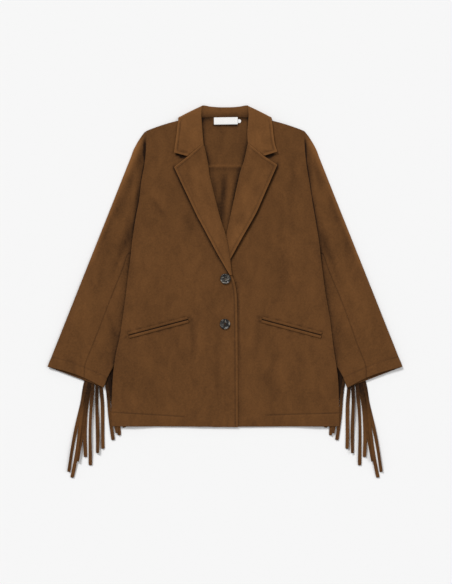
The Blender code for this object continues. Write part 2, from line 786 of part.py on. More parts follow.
def button(name, x, y):
    """A turned button with a raised rim, dished face and four holes."""
    points = [(0, 0, 0)]
    faces = []
    turned = BUTTON_PROFILE[1:-1]
    for radius, height in turned:
        for k in range(BUTTON_SIDES):
            a = 2 * math.pi * k / BUTTON_SIDES
            points.append((radius * math.cos(a), radius * math.sin(a), height))
    points.append((0, 0, BUTTON_PROFILE[-1][1]))
    last = len(points) - 1
    for k in range(BUTTON_SIDES):
        n = (k + 1) % BUTTON_SIDES
        faces.append((0, 1 + n, 1 + k))
        for ring in range(len(turned) - 1):
            a = 1 + ring * BUTTON_SIDES
            b = a + BUTTON_SIDES
            faces.append((a + k, a + n, b + n, b + k))
        a = 1 + (len(turned) - 1) * BUTTON_SIDES
        faces.append((a + k, a + n, last))
    made = make_object(name, points, faces, "horn")
    for k in range(4):
        turn = math.pi / 4 + k * math.pi / 2
        bpy.ops.mesh.primitive_cylinder_add(vertices=HOLE_SIDES, radius=BUTTON_HOLE * MM, depth=20 * MM)
        drill = bpy.context.object
        drill.location = (BUTTON_HOLE_OUT * MM * math.cos(turn), BUTTON_HOLE_OUT * MM * math.sin(turn), 0)
        drill.name = f"{name}_drill_{k}"
        drill.hide_render = True
        drill.display_type = "WIRE"
        drill.parent = made
        cut = made.modifiers.new(f"hole_{k}", "BOOLEAN")
        cut.operation = "DIFFERENCE"
        cut.solver = "EXACT"
        cut.object = drill
    reach = BUTTON_PROFILE[1][0]
    around = [(x + reach * math.cos(a), y + reach * math.sin(a)) for a in np.linspace(0, 2 * math.pi, 13)]
    height = max(float(left_front_middle(np.array(px), np.array(py))) for px, py in around)
    made.location = (x * MM, y * MM, (height + CLOTH / 2 + SEAM_GAP) * MM)
    return made


def label():
    """A blank woven label sewn in at the neck, and its small pointed tab."""
    turn = np.array([[math.cos(LABEL_TURN), -math.sin(LABEL_TURN)], [math.sin(LABEL_TURN), math.cos(LABEL_TURN)]])
    length, depth = LABEL_SIZE
    height = CLOTH / 2 + SEAM_GAP + LABEL_THICK / 2 + 0.2
    grid = []
    for v in (-0.5, 0, 0.5):
        row = [np.array([u * length, v * depth]) for u in np.linspace(-0.5, 0.5, 7)]
        grid.append([turn @ p + np.array(LABEL_CENTRE) for p in row])
    wall("label", lift(np.array(grid), back_middle, height), LABEL_THICK, "label")
    start = length / 2 + SEAM_GAP
    tab = []
    for v in (-1, 0, 1):
        reach = TAB_LENGTH - 3.0 * abs(v)
        row = [np.array([start + u * reach, v * TAB_HALF - 1.0]) for u in (0, 0.5, 1)]
        tab.append([turn @ p + np.array(LABEL_CENTRE) for p in row])
    wall("size_tab", lift(np.array(tab), back_middle, height), LABEL_THICK, "label")


def centre_jacket():
    """Moves every piece so that the jacket's box stands centred on the origin."""
    solids = [o for o in bpy.data.objects if o.type == "MESH" and o.display_type != "WIRE"]
    bpy.context.view_layer.update()
    corners = [o.matrix_world @ v.co for o in solids for v in o.data.vertices]
    low = [min(c[k] for c in corners) for k in range(3)]
    high = [max(c[k] for c in corners) for k in range(3)]
    for o in solids:
        o.location.x -= (low[0] + high[0]) / 2
        o.location.y -= (low[1] + high[1]) / 2
        o.location.z -= low[2]


def build():
    remove_scene()
    back()
    back_yoke()
    fronts()
    lapel(-1, "lapel_left")
    lapel(1, "lapel_right")
    collar()
    collar_stand()
    for side, hand in ((-1, "left"), (1, "right")):
        sleeve_top(side, f"sleeve_top_{hand}")
        sleeve_under(side, f"sleeve_under_{hand}")
        fringe(side, f"fringe_{hand}")
        welts(side, hand)
    for name, x, y in BUTTONS:
        button(name, x, y)
    label()
    centre_jacket()


build()
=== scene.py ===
import math

import bpy
import numpy as np
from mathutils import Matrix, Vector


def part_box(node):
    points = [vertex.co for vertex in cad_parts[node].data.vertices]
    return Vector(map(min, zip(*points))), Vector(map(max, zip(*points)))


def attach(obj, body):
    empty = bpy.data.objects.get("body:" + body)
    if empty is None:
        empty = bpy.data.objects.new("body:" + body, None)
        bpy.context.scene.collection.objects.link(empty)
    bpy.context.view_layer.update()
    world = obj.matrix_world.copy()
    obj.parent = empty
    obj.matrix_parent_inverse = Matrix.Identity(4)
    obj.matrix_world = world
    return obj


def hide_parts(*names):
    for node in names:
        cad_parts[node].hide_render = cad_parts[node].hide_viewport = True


# Suede-look jacket with fringed sleeves, laid flat and buttoned. Tables are in millimetres: x from
# the centre line, y up from the hem, z up from the table. Left and right are the picture's sides.

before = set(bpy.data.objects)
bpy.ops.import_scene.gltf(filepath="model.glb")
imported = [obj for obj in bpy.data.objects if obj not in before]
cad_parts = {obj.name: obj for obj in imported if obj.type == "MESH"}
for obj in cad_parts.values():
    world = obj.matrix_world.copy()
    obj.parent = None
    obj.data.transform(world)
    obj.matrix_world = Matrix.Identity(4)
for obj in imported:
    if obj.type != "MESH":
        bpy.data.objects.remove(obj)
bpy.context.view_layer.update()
bpy.ops.object.select_all(action="DESELECT")
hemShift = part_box("back")[0][1] * 1000 + 7.0  # the back dips 7 mm below the hem line

mm = 0.001
hands = {-1: "left", 1: "right"}
cloth = {"single": 1.2, "double": 2.0, "doubleRoom": 2.4, "seamGap": 0.3, "stitchPitch": 3.2,
         "edgeStitch": 6.5}


# Small maths helpers

def ease(value, low, high):
    t = np.clip((np.asarray(value, float) - low) / (high - low), 0, 1)
    return t * t * (3 - 2 * t)


def bell(value, middle, half):
    return np.exp(-(((np.asarray(value, float) - middle) / half) ** 2))


def unit(vectors):
    return vectors / np.maximum(np.linalg.norm(vectors, axis=-1, keepdims=True), 1e-9)


def curve(points, steps=8):
    # smooth curve through the rows, all columns alike
    p = np.asarray(points, float)
    p = np.concatenate([2 * p[:1] - p[1:2], p, 2 * p[-1:] - p[-2:-1]])
    t = np.linspace(0, 1, steps, endpoint=False).reshape(-1, *([1] * (p.ndim - 1)))
    parts = []
    for a, b, c, d in zip(p[:-3], p[1:-2], p[2:-1], p[3:]):
        square, cube = 2 * a - 5 * b + 4 * c - d, 3 * b - a - 3 * c + d
        parts.append(0.5 * (2 * b + (c - a) * t + square * t**2 + cube * t**3))
    return np.concatenate([*parts, p[-2:-1]])


def runAlong(p):
    return np.concatenate([[0], np.cumsum(np.linalg.norm(np.diff(p, axis=0), axis=1))])


def along(points, shares):
    p = np.asarray(points, float)
    run = runAlong(p)
    at = np.asarray(shares, float) * run[-1]
    return np.stack([np.interp(at, run, p[:, k]) for k in range(p.shape[1])], axis=-1)


def tableAt(table, key, column=1):
    line = curve(table)
    return np.interp(key, line[:, 0], line[:, column])


def stops(width, first, last, count):
    # shares across a width: fixed distances at both ends and even steps between
    tight = min(1.0, width / (2.4 * max(first[-1], last[-1])))
    a = np.array(first) * tight / width
    b = 1 - np.array(last)[::-1] * tight / width
    return np.concatenate([a, np.linspace(a[-1], b[0], count + 2)[1:-1], b])


def outlineDistance(points, line):
    # plan distance from each point to a polyline
    p = points[..., :2].reshape(-1, 1, 2)
    a = np.asarray(line, float)[None, :-1, :2]
    run = np.asarray(line, float)[None, 1:, :2] - a
    t = np.clip(((p - a) * run).sum(-1) / np.maximum((run * run).sum(-1), 1e-9), 0, 1)
    return np.linalg.norm(a + run * t[..., None] - p, axis=-1).min(1).reshape(points.shape[:-1])


def foldSum(table, x, y):
    # soft ridges or troughs, each on a bowed line and fading at both ends
    total = np.zeros(np.broadcast(x, y).shape)
    for x0, y0, x1, y1, bow, half, height in table:
        runX, runY = x1 - x0, y1 - y0
        length = math.hypot(runX, runY)
        share = ((x - x0) * runX + (y - y0) * runY) / length**2
        aside = ((x - x0) * runY - (y - y0) * runX) / length - bow * 4 * share * (1 - share)
        ends = ease(share, -0.15, 0.35) * (1 - ease(share, 0.65, 1.15))
        total = total + height * bell(aside, 0, half) * ends
    return total


# Body: widths, raised sides and the surfaces that the other pieces lie on

body = {
    # y, reach to the left and to the right of the centre line
    "widths": [
        (-4, 261, 263), (46, 261, 262), (104, 258, 260), (138, 255, 256), (169, 250, 251),
        (207, 241.5, 246), (249, 235, 241), (299, 228, 232), (350, 222, 225), (393, 216.5, 219.5),
        (402, 216, 219), (440, 211.5, 214), (482, 205, 207), (524, 197, 200), (562, 193, 194),
        (599, 186, 188), (635, 182, 184), (660, 181, 183), (672, 181.5, 183), (679, 182, 183)],
    # y, how far the sides are held up by the sleeves beneath them
    "sideRise": [
        (-4, 3.9), (60, 3.9), (85, 5.0), (115, 7.7), (380, 7.7), (402, 5.6), (440, 1.9),
        (482, 0.9), (562, 0.5), (679, 0.3)],
    "riseFlat": 38.0, "riseEnd": 112.0,
    "neckRise": 3.4, "neckHeights": (540.0, 672.0), "neckHalf": (116.0, 172.0),
    "yokeSeam": 599.0, "shoulderEnd": 679.0, "neckSeam": 710.0, "neckCorner": (60.0, 711.0),
    "shoulderBow": 5.0, "hemDip": 1.6, "gap": 0.4, "loft": 0.9,
    # y, x of the front edges, which turn into the roll lines above the buttons
    "leftEdge": [
        (-4, 30), (166, 29.5), (278, 28), (313, 26), (337, 21), (353, 14), (395, 9), (437, 1),
        (468, -9), (488, -15), (577, -37), (596, -39), (640, -48), (651, -51), (711, -56)],
    "rightEdge": [
        (-4, -28), (278, -28), (315, -26), (354, -14), (402, -3), (428, 2), (451, 7), (488, 15),
        (582, 36), (609, 45), (649, 54), (665, 57), (711, 59)],
    # x, y, to x, to y, bow, half width, height
    "frontFolds": [
        (-176, 545, -128, 455, 0, 26, 1.0), (150, 440, 140, 300, 0, 24, 0.9),
        (90, 160, 138, 58, 0, 26, 0.8), (-66, 170, -80, 50, 0, 28, 0.7),
        (-160, 165, -172, 40, 0, 30, 0.8), (168, 180, 178, 60, 0, 28, 0.7)],
    "backFolds": [(5, 585, 4, 445, 0, 11, 1.3)],
    "frontCreases": [
        (-174, 532, -140, 478, 4, 9, -0.5), (-166, 552, -122, 486, 6, 12, 0.6),
        (-142, 500, -134, 402, -5, 11, 0.5), (-96, 470, -104, 380, 4, 12, -0.4),
        (-72, 262, -66, 176, 3, 5, -0.6), (-58, 250, -54, 170, -3, 9, 0.5),
        (-15, 186, -16, 58, 3, 6, -0.6), (-30, 180, -34, 40, -4, 12, 0.5),
        (-196, 190, -150, 120, 6, 14, 0.5), (-120, 110, -92, 36, -5, 13, 0.5),
        (-200, 400, -188, 292, 5, 16, 0.6), (-110, 330, -150, 270, 5, 17, 0.5),
        (74, 258, 70, 172, -3, 5, -0.6), (62, 246, 60, 168, 3, 9, 0.5),
        (138, 400, 128, 300, 4, 8, -0.5), (156, 420, 150, 296, -4, 11, 0.6),
        (96, 128, 134, 62, 4, 8, -0.5), (120, 140, 160, 80, 5, 12, 0.5),
        (176, 540, 150, 470, -4, 12, 0.5), (120, 560, 110, 480, 3, 14, 0.4),
        (192, 380, 178, 250, -5, 15, 0.6), (186, 150, 206, 56, 4, 15, 0.5),
        (60, 110, 54, 20, 3, 14, 0.4)],
    "creaseGain": 1.7, "overlapRise": 1.6, "overlapX": (-105.0, -50.0), "overlapY": (430.0, 505.0),
    "humpRise": 2.5, "humpX": (-80.0, -28.0), "humpLow": (288.0, 352.0), "humpHigh": (432.0, 505.0),
}


def halfWidth(side, y):
    return tableAt(body["widths"], y, 1 if side < 0 else 2)


def bodyInward(x, y):
    return np.where(np.asarray(x) < 0, halfWidth(-1, y), halfWidth(1, y)) - np.abs(x)


def backFloor(x, y):
    rise = np.interp(y, *np.array(body["sideRise"]).T)
    neck = body["neckRise"] * ease(y, *body["neckHeights"]) * (1 - ease(np.abs(x), *body["neckHalf"]))
    return rise * (1 - ease(bodyInward(x, y), body["riseFlat"], body["riseEnd"])) + neck


def frontHeight(side, x, y):
    # middle of a front with its creases, without its stitched lines
    inward = bodyInward(x, y)
    room = body["gap"] + body["loft"] * ease(inward, 5, 70) * (1 - ease(y, 629, 699))
    base = backFloor(x, y) + cloth["single"] * 1.5 + room + foldSum(body["frontFolds"], x, y)
    if side < 0:  # the left front lies over the right one
        base = base + body["overlapRise"] * ease(x, *body["overlapX"]) * (1 - ease(y, *body["overlapY"]))
        hump = ease(x, *body["humpX"]) * ease(y, *body["humpLow"]) * (1 - ease(y, *body["humpHigh"]))
        base = base + body["humpRise"] * hump
    return base + body["creaseGain"] * foldSum(body["frontCreases"], x, y) * ease(inward, 2, 25)


# Meshes

def pick(*objects):
    # select these alone, the first one active
    bpy.ops.object.select_all(action="DESELECT")
    for obj in objects:
        obj.select_set(True)
    bpy.context.view_layer.objects.active = objects[0]


def finish(obj, levels=1):
    pick(obj)
    if levels:
        smooth = obj.modifiers.new("smooth", "SUBSURF")
        smooth.levels = levels
        smooth.render_levels = levels
        bpy.ops.object.modifier_apply(modifier=smooth.name)
    bpy.ops.object.shade_smooth()
    obj.select_set(False)


def addObject(name, data, material):
    data.materials.append(material)
    obj = bpy.data.objects.new(name, data)
    bpy.context.collection.objects.link(obj)
    return obj


def meshObject(name, points, faces, material):
    mesh = bpy.data.meshes.new(name)
    placed = np.asarray(points, float) + np.array([0, hemShift, 0])
    mesh.from_pydata((placed * mm).tolist(), [], faces)
    return addObject(name, mesh, material)


def dress(obj, node=None):
    # all pieces are on the one body, and most stand for a solid
    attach(obj, "root")
    if node:
        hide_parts(node)
    return obj


def flipped(side, *grids):
    # columns the other way round on the right, so that faces look outward on both sides
    return [grid[:, ::-1] if side > 0 else grid for grid in grids]


def shell(name, middle, thick, material, shadeAndNap=None, relief=None, levels=1):
    # closed shell round a grid of middle points: rows run up, columns across
    rows, columns = middle.shape[:2]
    normal = unit(np.cross(np.gradient(middle, axis=1), np.gradient(middle, axis=0)))
    top = middle + normal * thick / 2
    if relief is not None:
        top = top + normal * relief[..., None]
    under = middle - normal * thick / 2
    half = rows * columns
    at = np.arange(half).reshape(rows, columns)
    quads = np.stack([at[:-1, :-1], at[:-1, 1:], at[1:, 1:], at[1:, :-1]], axis=-1).reshape(-1, 4)
    rim = np.concatenate([at[0], at[1:, -1], at[-1, -2::-1], at[-2:0:-1, 0]])
    after = np.roll(rim, -1)
    faces = quads.tolist() + (quads[:, ::-1] + half).tolist()
    faces += np.stack([after, rim, rim + half, after + half], axis=-1).tolist()
    points = np.concatenate([top.reshape(-1, 3), under.reshape(-1, 3)])
    obj = meshObject(name + "_cloth", points, faces, material)
    # painted shade and painted highlights together with light and dark marks of the nap, kept with the
    # mesh for the material
    flat = np.zeros(half) if shadeAndNap is None else np.asarray(shadeAndNap, float).ravel()
    layer = obj.data.attributes.new("shadeAndNap", "FLOAT", "POINT")
    layer.data.foreach_set("value", np.concatenate([flat, flat]))
    finish(obj, levels)
    return obj, top


def stitchRun(name, paths, size=(1.15, 0.3, 0.26)):
    # rows of small thread stitches laid along lines on the cloth
    bpy.ops.mesh.primitive_uv_sphere_add(segments=6, ring_count=4, radius=1.0)
    one = bpy.context.object
    base = np.array([v.co[:] for v in one.data.vertices]) * np.array(size)
    sides = [list(f.vertices) for f in one.data.polygons]
    bpy.data.objects.remove(one, do_unlink=True)
    points = []
    faces = []
    for path in paths:
        line = np.asarray(path, float)
        count = max(2, int(runAlong(line)[-1] / cloth["stitchPitch"]))
        places = along(line, (np.arange(count) + 0.5) / count)
        for place, ahead in zip(places, unit(np.gradient(places, axis=0))):
            across = unit(np.cross([0, 0, 1], ahead))
            upward = np.cross(ahead, across)
            first = len(points) * len(base)
            points.append(place + base @ np.stack([ahead, across, upward]) + upward * 0.05)
            faces += [[first + v for v in side] for side in sides]
    obj = meshObject(name, np.concatenate(points), faces, threadMaterial)
    finish(obj, 0)
    return dress(obj)


# Materials

def feed(tree, socket, value):
    # a value that is a socket is linked, any other is set
    if hasattr(value, "links"):
        tree.links.new(value, socket)
    else:
        socket.default_value = value


def addNode(tree, kind, inputs=None, **settings):
    node = tree.nodes.new("ShaderNode" + kind)
    for name, value in settings.items():
        setattr(node, name, value)
    for socket, value in (inputs or {}).items():
        feed(tree, node.inputs[socket], value)
    return node


def mixColour(tree, amount, first, second):
    return addNode(tree, "Mix", {0: amount, 6: first, 7: second}, data_type="RGBA").outputs[2]


def mathNode(tree, operation, first, second, clamp=False):
    return addNode(tree, "Math", {0: first, 1: second}, operation=operation, use_clamp=clamp).outputs[0]


def noiseNode(tree, vector, scale, detail, rough=0.55, distortion=0.0):
    inputs = {"Vector": vector, "Scale": scale, "Detail": detail, "Roughness": rough,
              "Distortion": distortion}
    return addNode(tree, "TexNoise", inputs).outputs["Fac"]


def bumpNode(tree, height, strength, distance):
    inputs = {"Height": height, "Strength": strength, "Distance": distance}
    return addNode(tree, "Bump", inputs).outputs["Normal"]


def newMaterial(name):
    # the material, its nodes and the place that its textures read
    made = bpy.data.materials.new(name)
    made.use_nodes = True
    return made, made.node_tree, addNode(made.node_tree, "TexCoord").outputs["Object"]


def setShader(tree, inputs):
    for socket, value in inputs.items():
        feed(tree, tree.nodes["Principled BSDF"].inputs[socket], value)


napLook = {
    # scale, detail, roughness, distortion, weight in the shade
    "clouds": (11.0, 3.0, 0.5, 0.4, 0.30), "patches": (42.0, 4.0, 0.6, 0.6, 0.80),
    "specks": (260.0, 3.0, 0.6, 0.0, 0.75), "fibres": (1500.0, 2.0, 0.6, 0.0, 0.5),
    "stretch": (1.0, 0.55, 1.0), "speckBump": 0.6, "gain": 0.5, "middle": 0.5,
}


def buildNapGroup():
    # brushed nap: broad clouds, hand-sized patches, specks and short fibres
    group = bpy.data.node_groups.new("brushedNap", "ShaderNodeTree")
    group.interface.new_socket("Vector", in_out="INPUT", socket_type="NodeSocketVector")
    for name in ("Shade", "Fibre"):
        group.interface.new_socket(name, in_out="OUTPUT", socket_type="NodeSocketFloat")
    start = group.nodes.new("NodeGroupInput").outputs["Vector"]
    end = group.nodes.new("NodeGroupOutput")
    drawn = addNode(group, "Mapping", {"Vector": start, "Scale": napLook["stretch"]}).outputs[0]
    shade = 0.0
    noises = {}
    for name, vector in (("clouds", drawn), ("patches", drawn), ("specks", start), ("fibres", start)):
        *look, weight = napLook[name]
        noises[name] = noiseNode(group, vector, *look)
        part = mathNode(group, "SUBTRACT", noises[name], 0.5)
        shade = mathNode(group, "ADD", shade, mathNode(group, "MULTIPLY", part, weight))
    group.links.new(shade, end.inputs["Shade"])
    specks = mathNode(group, "MULTIPLY", noises["specks"], napLook["speckBump"])
    group.links.new(mathNode(group, "ADD", noises["fibres"], specks), end.inputs["Fibre"])
    return group


napGroup = buildNapGroup()


def suede(name, dark, light, sheen):
    made, tree, place = newMaterial(name)
    nap = addNode(tree, "Group", {"Vector": place}, node_tree=napGroup)
    shadeAndNap = addNode(tree, "Attribute", attribute_name="shadeAndNap").outputs["Fac"]
    total = mathNode(tree, "ADD", nap.outputs["Shade"], shadeAndNap)
    total = mathNode(tree, "MULTIPLY", total, napLook["gain"])
    total = mathNode(tree, "ADD", total, napLook["middle"], clamp=True)
    setShader(tree, {
        "Base Color": mixColour(tree, total, (*dark, 1), (*light, 1)), "Roughness": 0.92,
        "Specular IOR Level": 0.12, "Sheen Weight": sheen, "Sheen Roughness": 0.45,
        "Sheen Tint": (0.95, 0.62, 0.32, 1),
        "Normal": bumpNode(tree, nap.outputs["Fibre"], 0.35, 0.0005)})
    return made


def makeThread():
    made, tree, place = newMaterial("brownThread")
    twist = noiseNode(tree, place, 2400.0, 2.0)
    colour = mixColour(tree, twist, (0.030, 0.013, 0.0045, 1), (0.105, 0.046, 0.015, 1))
    setShader(tree, {"Base Color": colour, "Roughness": 0.75, "Specular IOR Level": 0.2})
    return made


outerSuede = suede("brownSuede", (0.014, 0.0055, 0.0020), (0.204, 0.0855, 0.0255), 0.12)
# the inside's suede is a darker copy of the brown suede with less sheen: painted shade for the jacket's
# inside
shadedInsideSuede = suede("shadedInsideSuede", (0.012, 0.0050, 0.0018), (0.192, 0.081, 0.0245), 0.05)
threadMaterial = makeThread()
print("materials made")


# Camera, light and table

stageLook = {
    "viewHeight": 1.343, "centre": (0.0023, -0.0005), "distance": 4.0, "sensor": 24.0,
    "table": 12.0, "tableDrop": 0.0006, "tableColour": (0.884, 0.884, 0.884, 1), "world": 0.42,
    # towards the light, strength, softness in degrees
    "lights": {"keyLight": ((-0.42, 0.72, 0.80), 2.1, 16), "fillLight": ((0.75, 0.30, 1.1), 0.65, 35)},
}


def setStage():
    scene = bpy.context.scene
    camera = bpy.data.cameras.new("camera")
    camera.sensor_fit = "VERTICAL"
    camera.sensor_height = stageLook["sensor"]
    camera.lens = stageLook["sensor"] * stageLook["distance"] / stageLook["viewHeight"]
    holder = bpy.data.objects.new("camera", camera)
    holder.location = (*stageLook["centre"], stageLook["distance"])
    bpy.context.collection.objects.link(holder)
    scene.camera = holder
    spot = (0, 0, -stageLook["tableDrop"])
    bpy.ops.mesh.primitive_plane_add(size=stageLook["table"], location=spot)
    table = bpy.context.object
    table.name = "table"
    made = bpy.data.materials.new("paleTable")
    made.use_nodes = True
    setShader(made.node_tree, {"Base Color": stageLook["tableColour"], "Roughness": 0.9})
    table.data.materials.append(made)
    scene.view_settings.view_transform = "Standard"
    scene.world = bpy.data.worlds.new("studio")
    scene.world.use_nodes = True
    background = scene.world.node_tree.nodes["Background"]
    background.inputs["Color"].default_value = (1, 1, 1, 1)
    background.inputs["Strength"].default_value = stageLook["world"]
    for name, (aim, strength, softness) in stageLook["lights"].items():
        lamp = bpy.data.lights.new(name, "SUN")
        lamp.energy = strength
        lamp.angle = math.radians(softness)
        obj = bpy.data.objects.new(name, lamp)
        bpy.context.collection.objects.link(obj)
        obj.location = aim
        away = unit(np.array(aim))
        obj.rotation_euler = (math.acos(away[2]), 0, math.atan2(away[1], away[0]) + math.pi / 2)


setStage()
print("stage set")


# Lapels and pockets: these come first, as the cloth is also shaded beside them

lapelLook = {
    "left": {"low": 348.0, "corner": (-85.5, 620.9), "outer": [
        (11.5, 348), (3, 362), (-11, 386), (-18, 398), (-57, 471), (-66, 488), (-117, 596)]},
    "right": {"low": 355.0, "corner": (89.2, 621.7), "outer": [
        (-7, 355), (1, 366), (14, 388), (37, 430), (70, 488), (85, 521), (120, 601)]},
    "rollTop": 651.0, "rows": 30, "columns": 16, "stops": [0, 1.0, 3.2, 5.3, 6.1, 6.9, 8.0, 11],
    "rest": 0.3, "lift": 4.2,
    "creases": [
        (-70, 600, -58, 520, 3, 9, 0.7), (-92, 585, -70, 545, 2, 10, -0.5),
        (-40, 560, -20, 460, -3, 9, 0.5), (92, 596, 60, 540, 3, 9, -0.6),
        (76, 600, 52, 520, -3, 10, 0.8), (60, 520, 30, 420, 3, 10, 0.5)],
}

# what lies between the middle of a front and the middle of the double cloth on it
lapelAbove = cloth["single"] / 2 + cloth["seamGap"] + lapelLook["rest"] + cloth["doubleRoom"] / 2

pocketLook = {
    "sideEnd": (-221.0, 210.5), "frontEnd": (-84.5, 246.5), "slit": 1.3, "welt": 5.8, "thick": 0.7,
    # each welt is folded at the slit: distance out from the slit, height of the layer's middle
    "section": [
        (6.0, 0.38), (5.2, 0.38), (3.4, 0.38), (1.6, 0.38), (0.7, 0.40), (0.25, 0.58),
        (0.05, 0.95), (0.3, 1.38), (0.9, 1.66), (1.9, 1.84), (3.2, 1.86), (4.4, 1.70), (5.3, 1.40),
        (6.0, 1.12)],
}


# Painted shade, painted highlights and marks of the nap: x, y, to x, to y, bow, half width, darker or
# lighter

shadeAndNapMarks = {
    "leftLapel": [
        (-92, 588, -78, 560, 0, 9, -0.16), (-70, 600, -56, 560, 0, 9, 0.10),
        (-78, 545, -60, 515, 0, 7, -0.14), (-46, 548, -30, 500, 0, 8, -0.12),
        (-50, 480, -24, 420, 0, 8, 0.08), (-60, 640, -56, 600, 0, 8, -0.14)],
    "rightLapel": [
        (96, 598, 74, 560, 0, 10, 0.12), (60, 600, 50, 560, 0, 8, -0.22),
        (78, 560, 64, 530, 0, 7, -0.24), (50, 545, 40, 500, 0, 8, 0.16),
        (46, 492, 28, 462, 0, 11, -0.34), (60, 500, 48, 470, 0, 6, 0.14),
        (26, 450, 12, 410, 0, 8, 0.14), (64, 632, 60, 606, 0, 8, -0.20)],
    "inside": [
        (-1, 585, -11, 440, 0, 7, -0.62), (14, 590, 5, 440, 0, 5, 0.28),
        (40, 605, 10, 440, 0, 9, -1.05), (-34, 600, -10, 470, 0, 6, -0.45)],
    "collar": [
        (-100, 690, -84, 640, 0, 9, -0.12), (-74, 690, -66, 660, 0, 8, 0.14),
        (84, 690, 74, 652, 0, 9, 0.14), (104, 668, 96, 645, 0, 7, -0.14),
        (70, 700, 66, 680, 0, 7, -0.10), (-90, 716, -72, 724, 0, 6, 0.10)],
    "leftSleeve": [
        (-184, 664, -186, 616, 0, 3.4, -1.3), (-187, 622, -203, 500, 0, 4.2, -0.35),
        (-200, 560, -208, 450, 0, 4.5, -0.5), (-190, 636, -224, 540, 0, 8, -0.34),
        (-222, 545, -262, 466, 0, 8, -0.22), (-256, 478, -298, 396, 0, 8, -0.18),
        (-208, 470, -262, 338, 0, 9, -0.30), (-222, 420, -252, 352, 0, 5, 0.30),
        (-216, 520, -246, 430, 0, 6, 0.22), (-259, 228, -262, 192, 0, 11, -0.26),
        (-238, 345, -244, 300, 0, 8, 0.20), (-300, 300, -330, 220, 3, 16, 0.08)],
    "rightSleeve": [
        (-184, 664, -186, 616, 0, 3.4, -1.2), (-188, 620, -200, 530, 0, 4.2, -0.32),
        (-201, 525, -208, 460, 0, 4.5, -0.45), (-195, 620, -230, 534, 0, 8, -0.20),
        (-230, 540, -270, 447, 0, 8, -0.14), (-268, 455, -300, 370, 0, 9, -0.14),
        (-210, 462, -252, 362, 0, 9, -0.22), (-218, 430, -242, 368, 0, 4, 0.22),
        (-216, 505, -250, 420, 0, 6, 0.20), (-236, 410, -262, 330, 0, 6, -0.22),
        (-262, 240, -264, 200, 0, 11, -0.18), (-310, 290, -340, 200, -3, 16, 0.08)],
    "body": [
        (-114, 626, -84, 617, 0, 3.6, -1.7), (84, 617, 116, 627, 0, 4.0, -1.9),
        (-167, 522, -132, 476, 0, 6, -0.34), (-92, 490, -74, 446, 0, 13, -0.24),
        (143, 398, 131, 290, 0, 9, -0.13), (158, 640, 152, 450, 0, 8, -0.15),
        (-78, 241, -72, 142, 0, 4.5, -0.24), (105, 172, 122, 152, 0, 10, -0.2),
        (165, 176, 172, 150, 0, 9, -0.16), (86, 128, 116, 62, 0, 8, -0.2),
        (-150, 420, -120, 330, 0, 20, 0.12), (60, 420, 80, 330, 0, 18, 0.1),
        (-172, 640, -150, 470, 4, 26, 0.05), (-150, 520, -120, 440, 4, 14, -0.10),
        (-90, 560, -70, 430, 0, 16, -0.05), (-60, 420, -90, 280, 6, 26, 0.06),
        (-20, 270, -26, 150, 3, 14, -0.05), (-15, 190, -14, 40, 3, 6, -0.14),
        (-70, 250, -66, 180, 3, 7, -0.12), (-52, 240, -50, 150, 0, 10, 0.08),
        (-190, 180, -130, 90, 6, 20, 0.05), (-210, 210, -80, 246, 0, 8, -0.06),
        (78, 250, 72, 176, -3, 7, -0.12), (90, 240, 210, 210, 0, 8, -0.06),
        (140, 410, 130, 290, 4, 9, -0.10), (165, 560, 150, 420, 0, 26, 0.05),
        (100, 130, 136, 60, 4, 9, -0.10), (150, 130, 190, 60, 4, 18, -0.06),
        (60, 150, 70, 40, 0, 18, 0.05), (110, 380, 60, 300, 0, 22, 0.05)],
}


# painted shadow on the front along the lapel's outer edge
def shadowBesideLapel(plan, side):
    return -1.0 * bell(outlineDistance(plan, curve(lapelLook[hands[side]]["outer"])), 0, 4.0)


# painted shadow on the right front beside the left front's edge
def shadowBesideFrontEdge(x, y):
    return -0.6 * bell(x - tableAt(body["leftEdge"], y), 1.2, 2.6) * (1 - ease(y, 340, 356))


def bodyShadeAndNap(x, y):
    # painted shade at the body's sides, painted shade and highlights following the creases, and the
    # marks from the table
    side = bodyInward(x, y)
    edge = 0.14 * bell(side, 0, 13) * ease(y, 20, 140) * (1 - ease(y, 560, 640))
    plan = np.stack([-np.abs(x), y], axis=-1)
    out = outlineDistance(plan, [pocketLook["sideEnd"], pocketLook["frontEnd"]])
    pocket = 0.5 * bell(out, pocketLook["slit"] + pocketLook["welt"] + 0.4, 1.5)  # painted shadow along the outer edges of both welts
    creases = 0.13 * foldSum(body["frontCreases"], x, y)
    return foldSum(shadeAndNapMarks["body"], x, y) + creases - edge - pocket


# Fronts, with their turned hems, stitched edges and the marks of their facings

frontLook = {
    "edgeStops": [0, 1.0, 3.2, 5.3, 6.1, 6.9, 8.0, 11], "sideStops": [0, 1.2, 4.0, 9.0], "columns": 46,
    "hemRows": [0, 1.0, 3.0, 8.0, 14.0, 18.0, 21.0, *np.arange(22.5, 37, 1.5), 38.0],
    "topRows": [0, 1.2, 4.0, 9.0], "rows": 112, "hemLow": 0.8, "grooveDeep": 0.5, "edgePuff": 0.7,
    "stitchTop": 356,  # the edge stitch ends under the lapel
    # per side: height and slope of the hem stitch, where the facing ends, area
    "hemStitch": {-1: (23.4, 0.062), 1: (27.0, 0.030)}, "facingX": {-1: -93.0, 1: 95.0},
    "area": {-1: 0.1595, 1: 0.160},
}


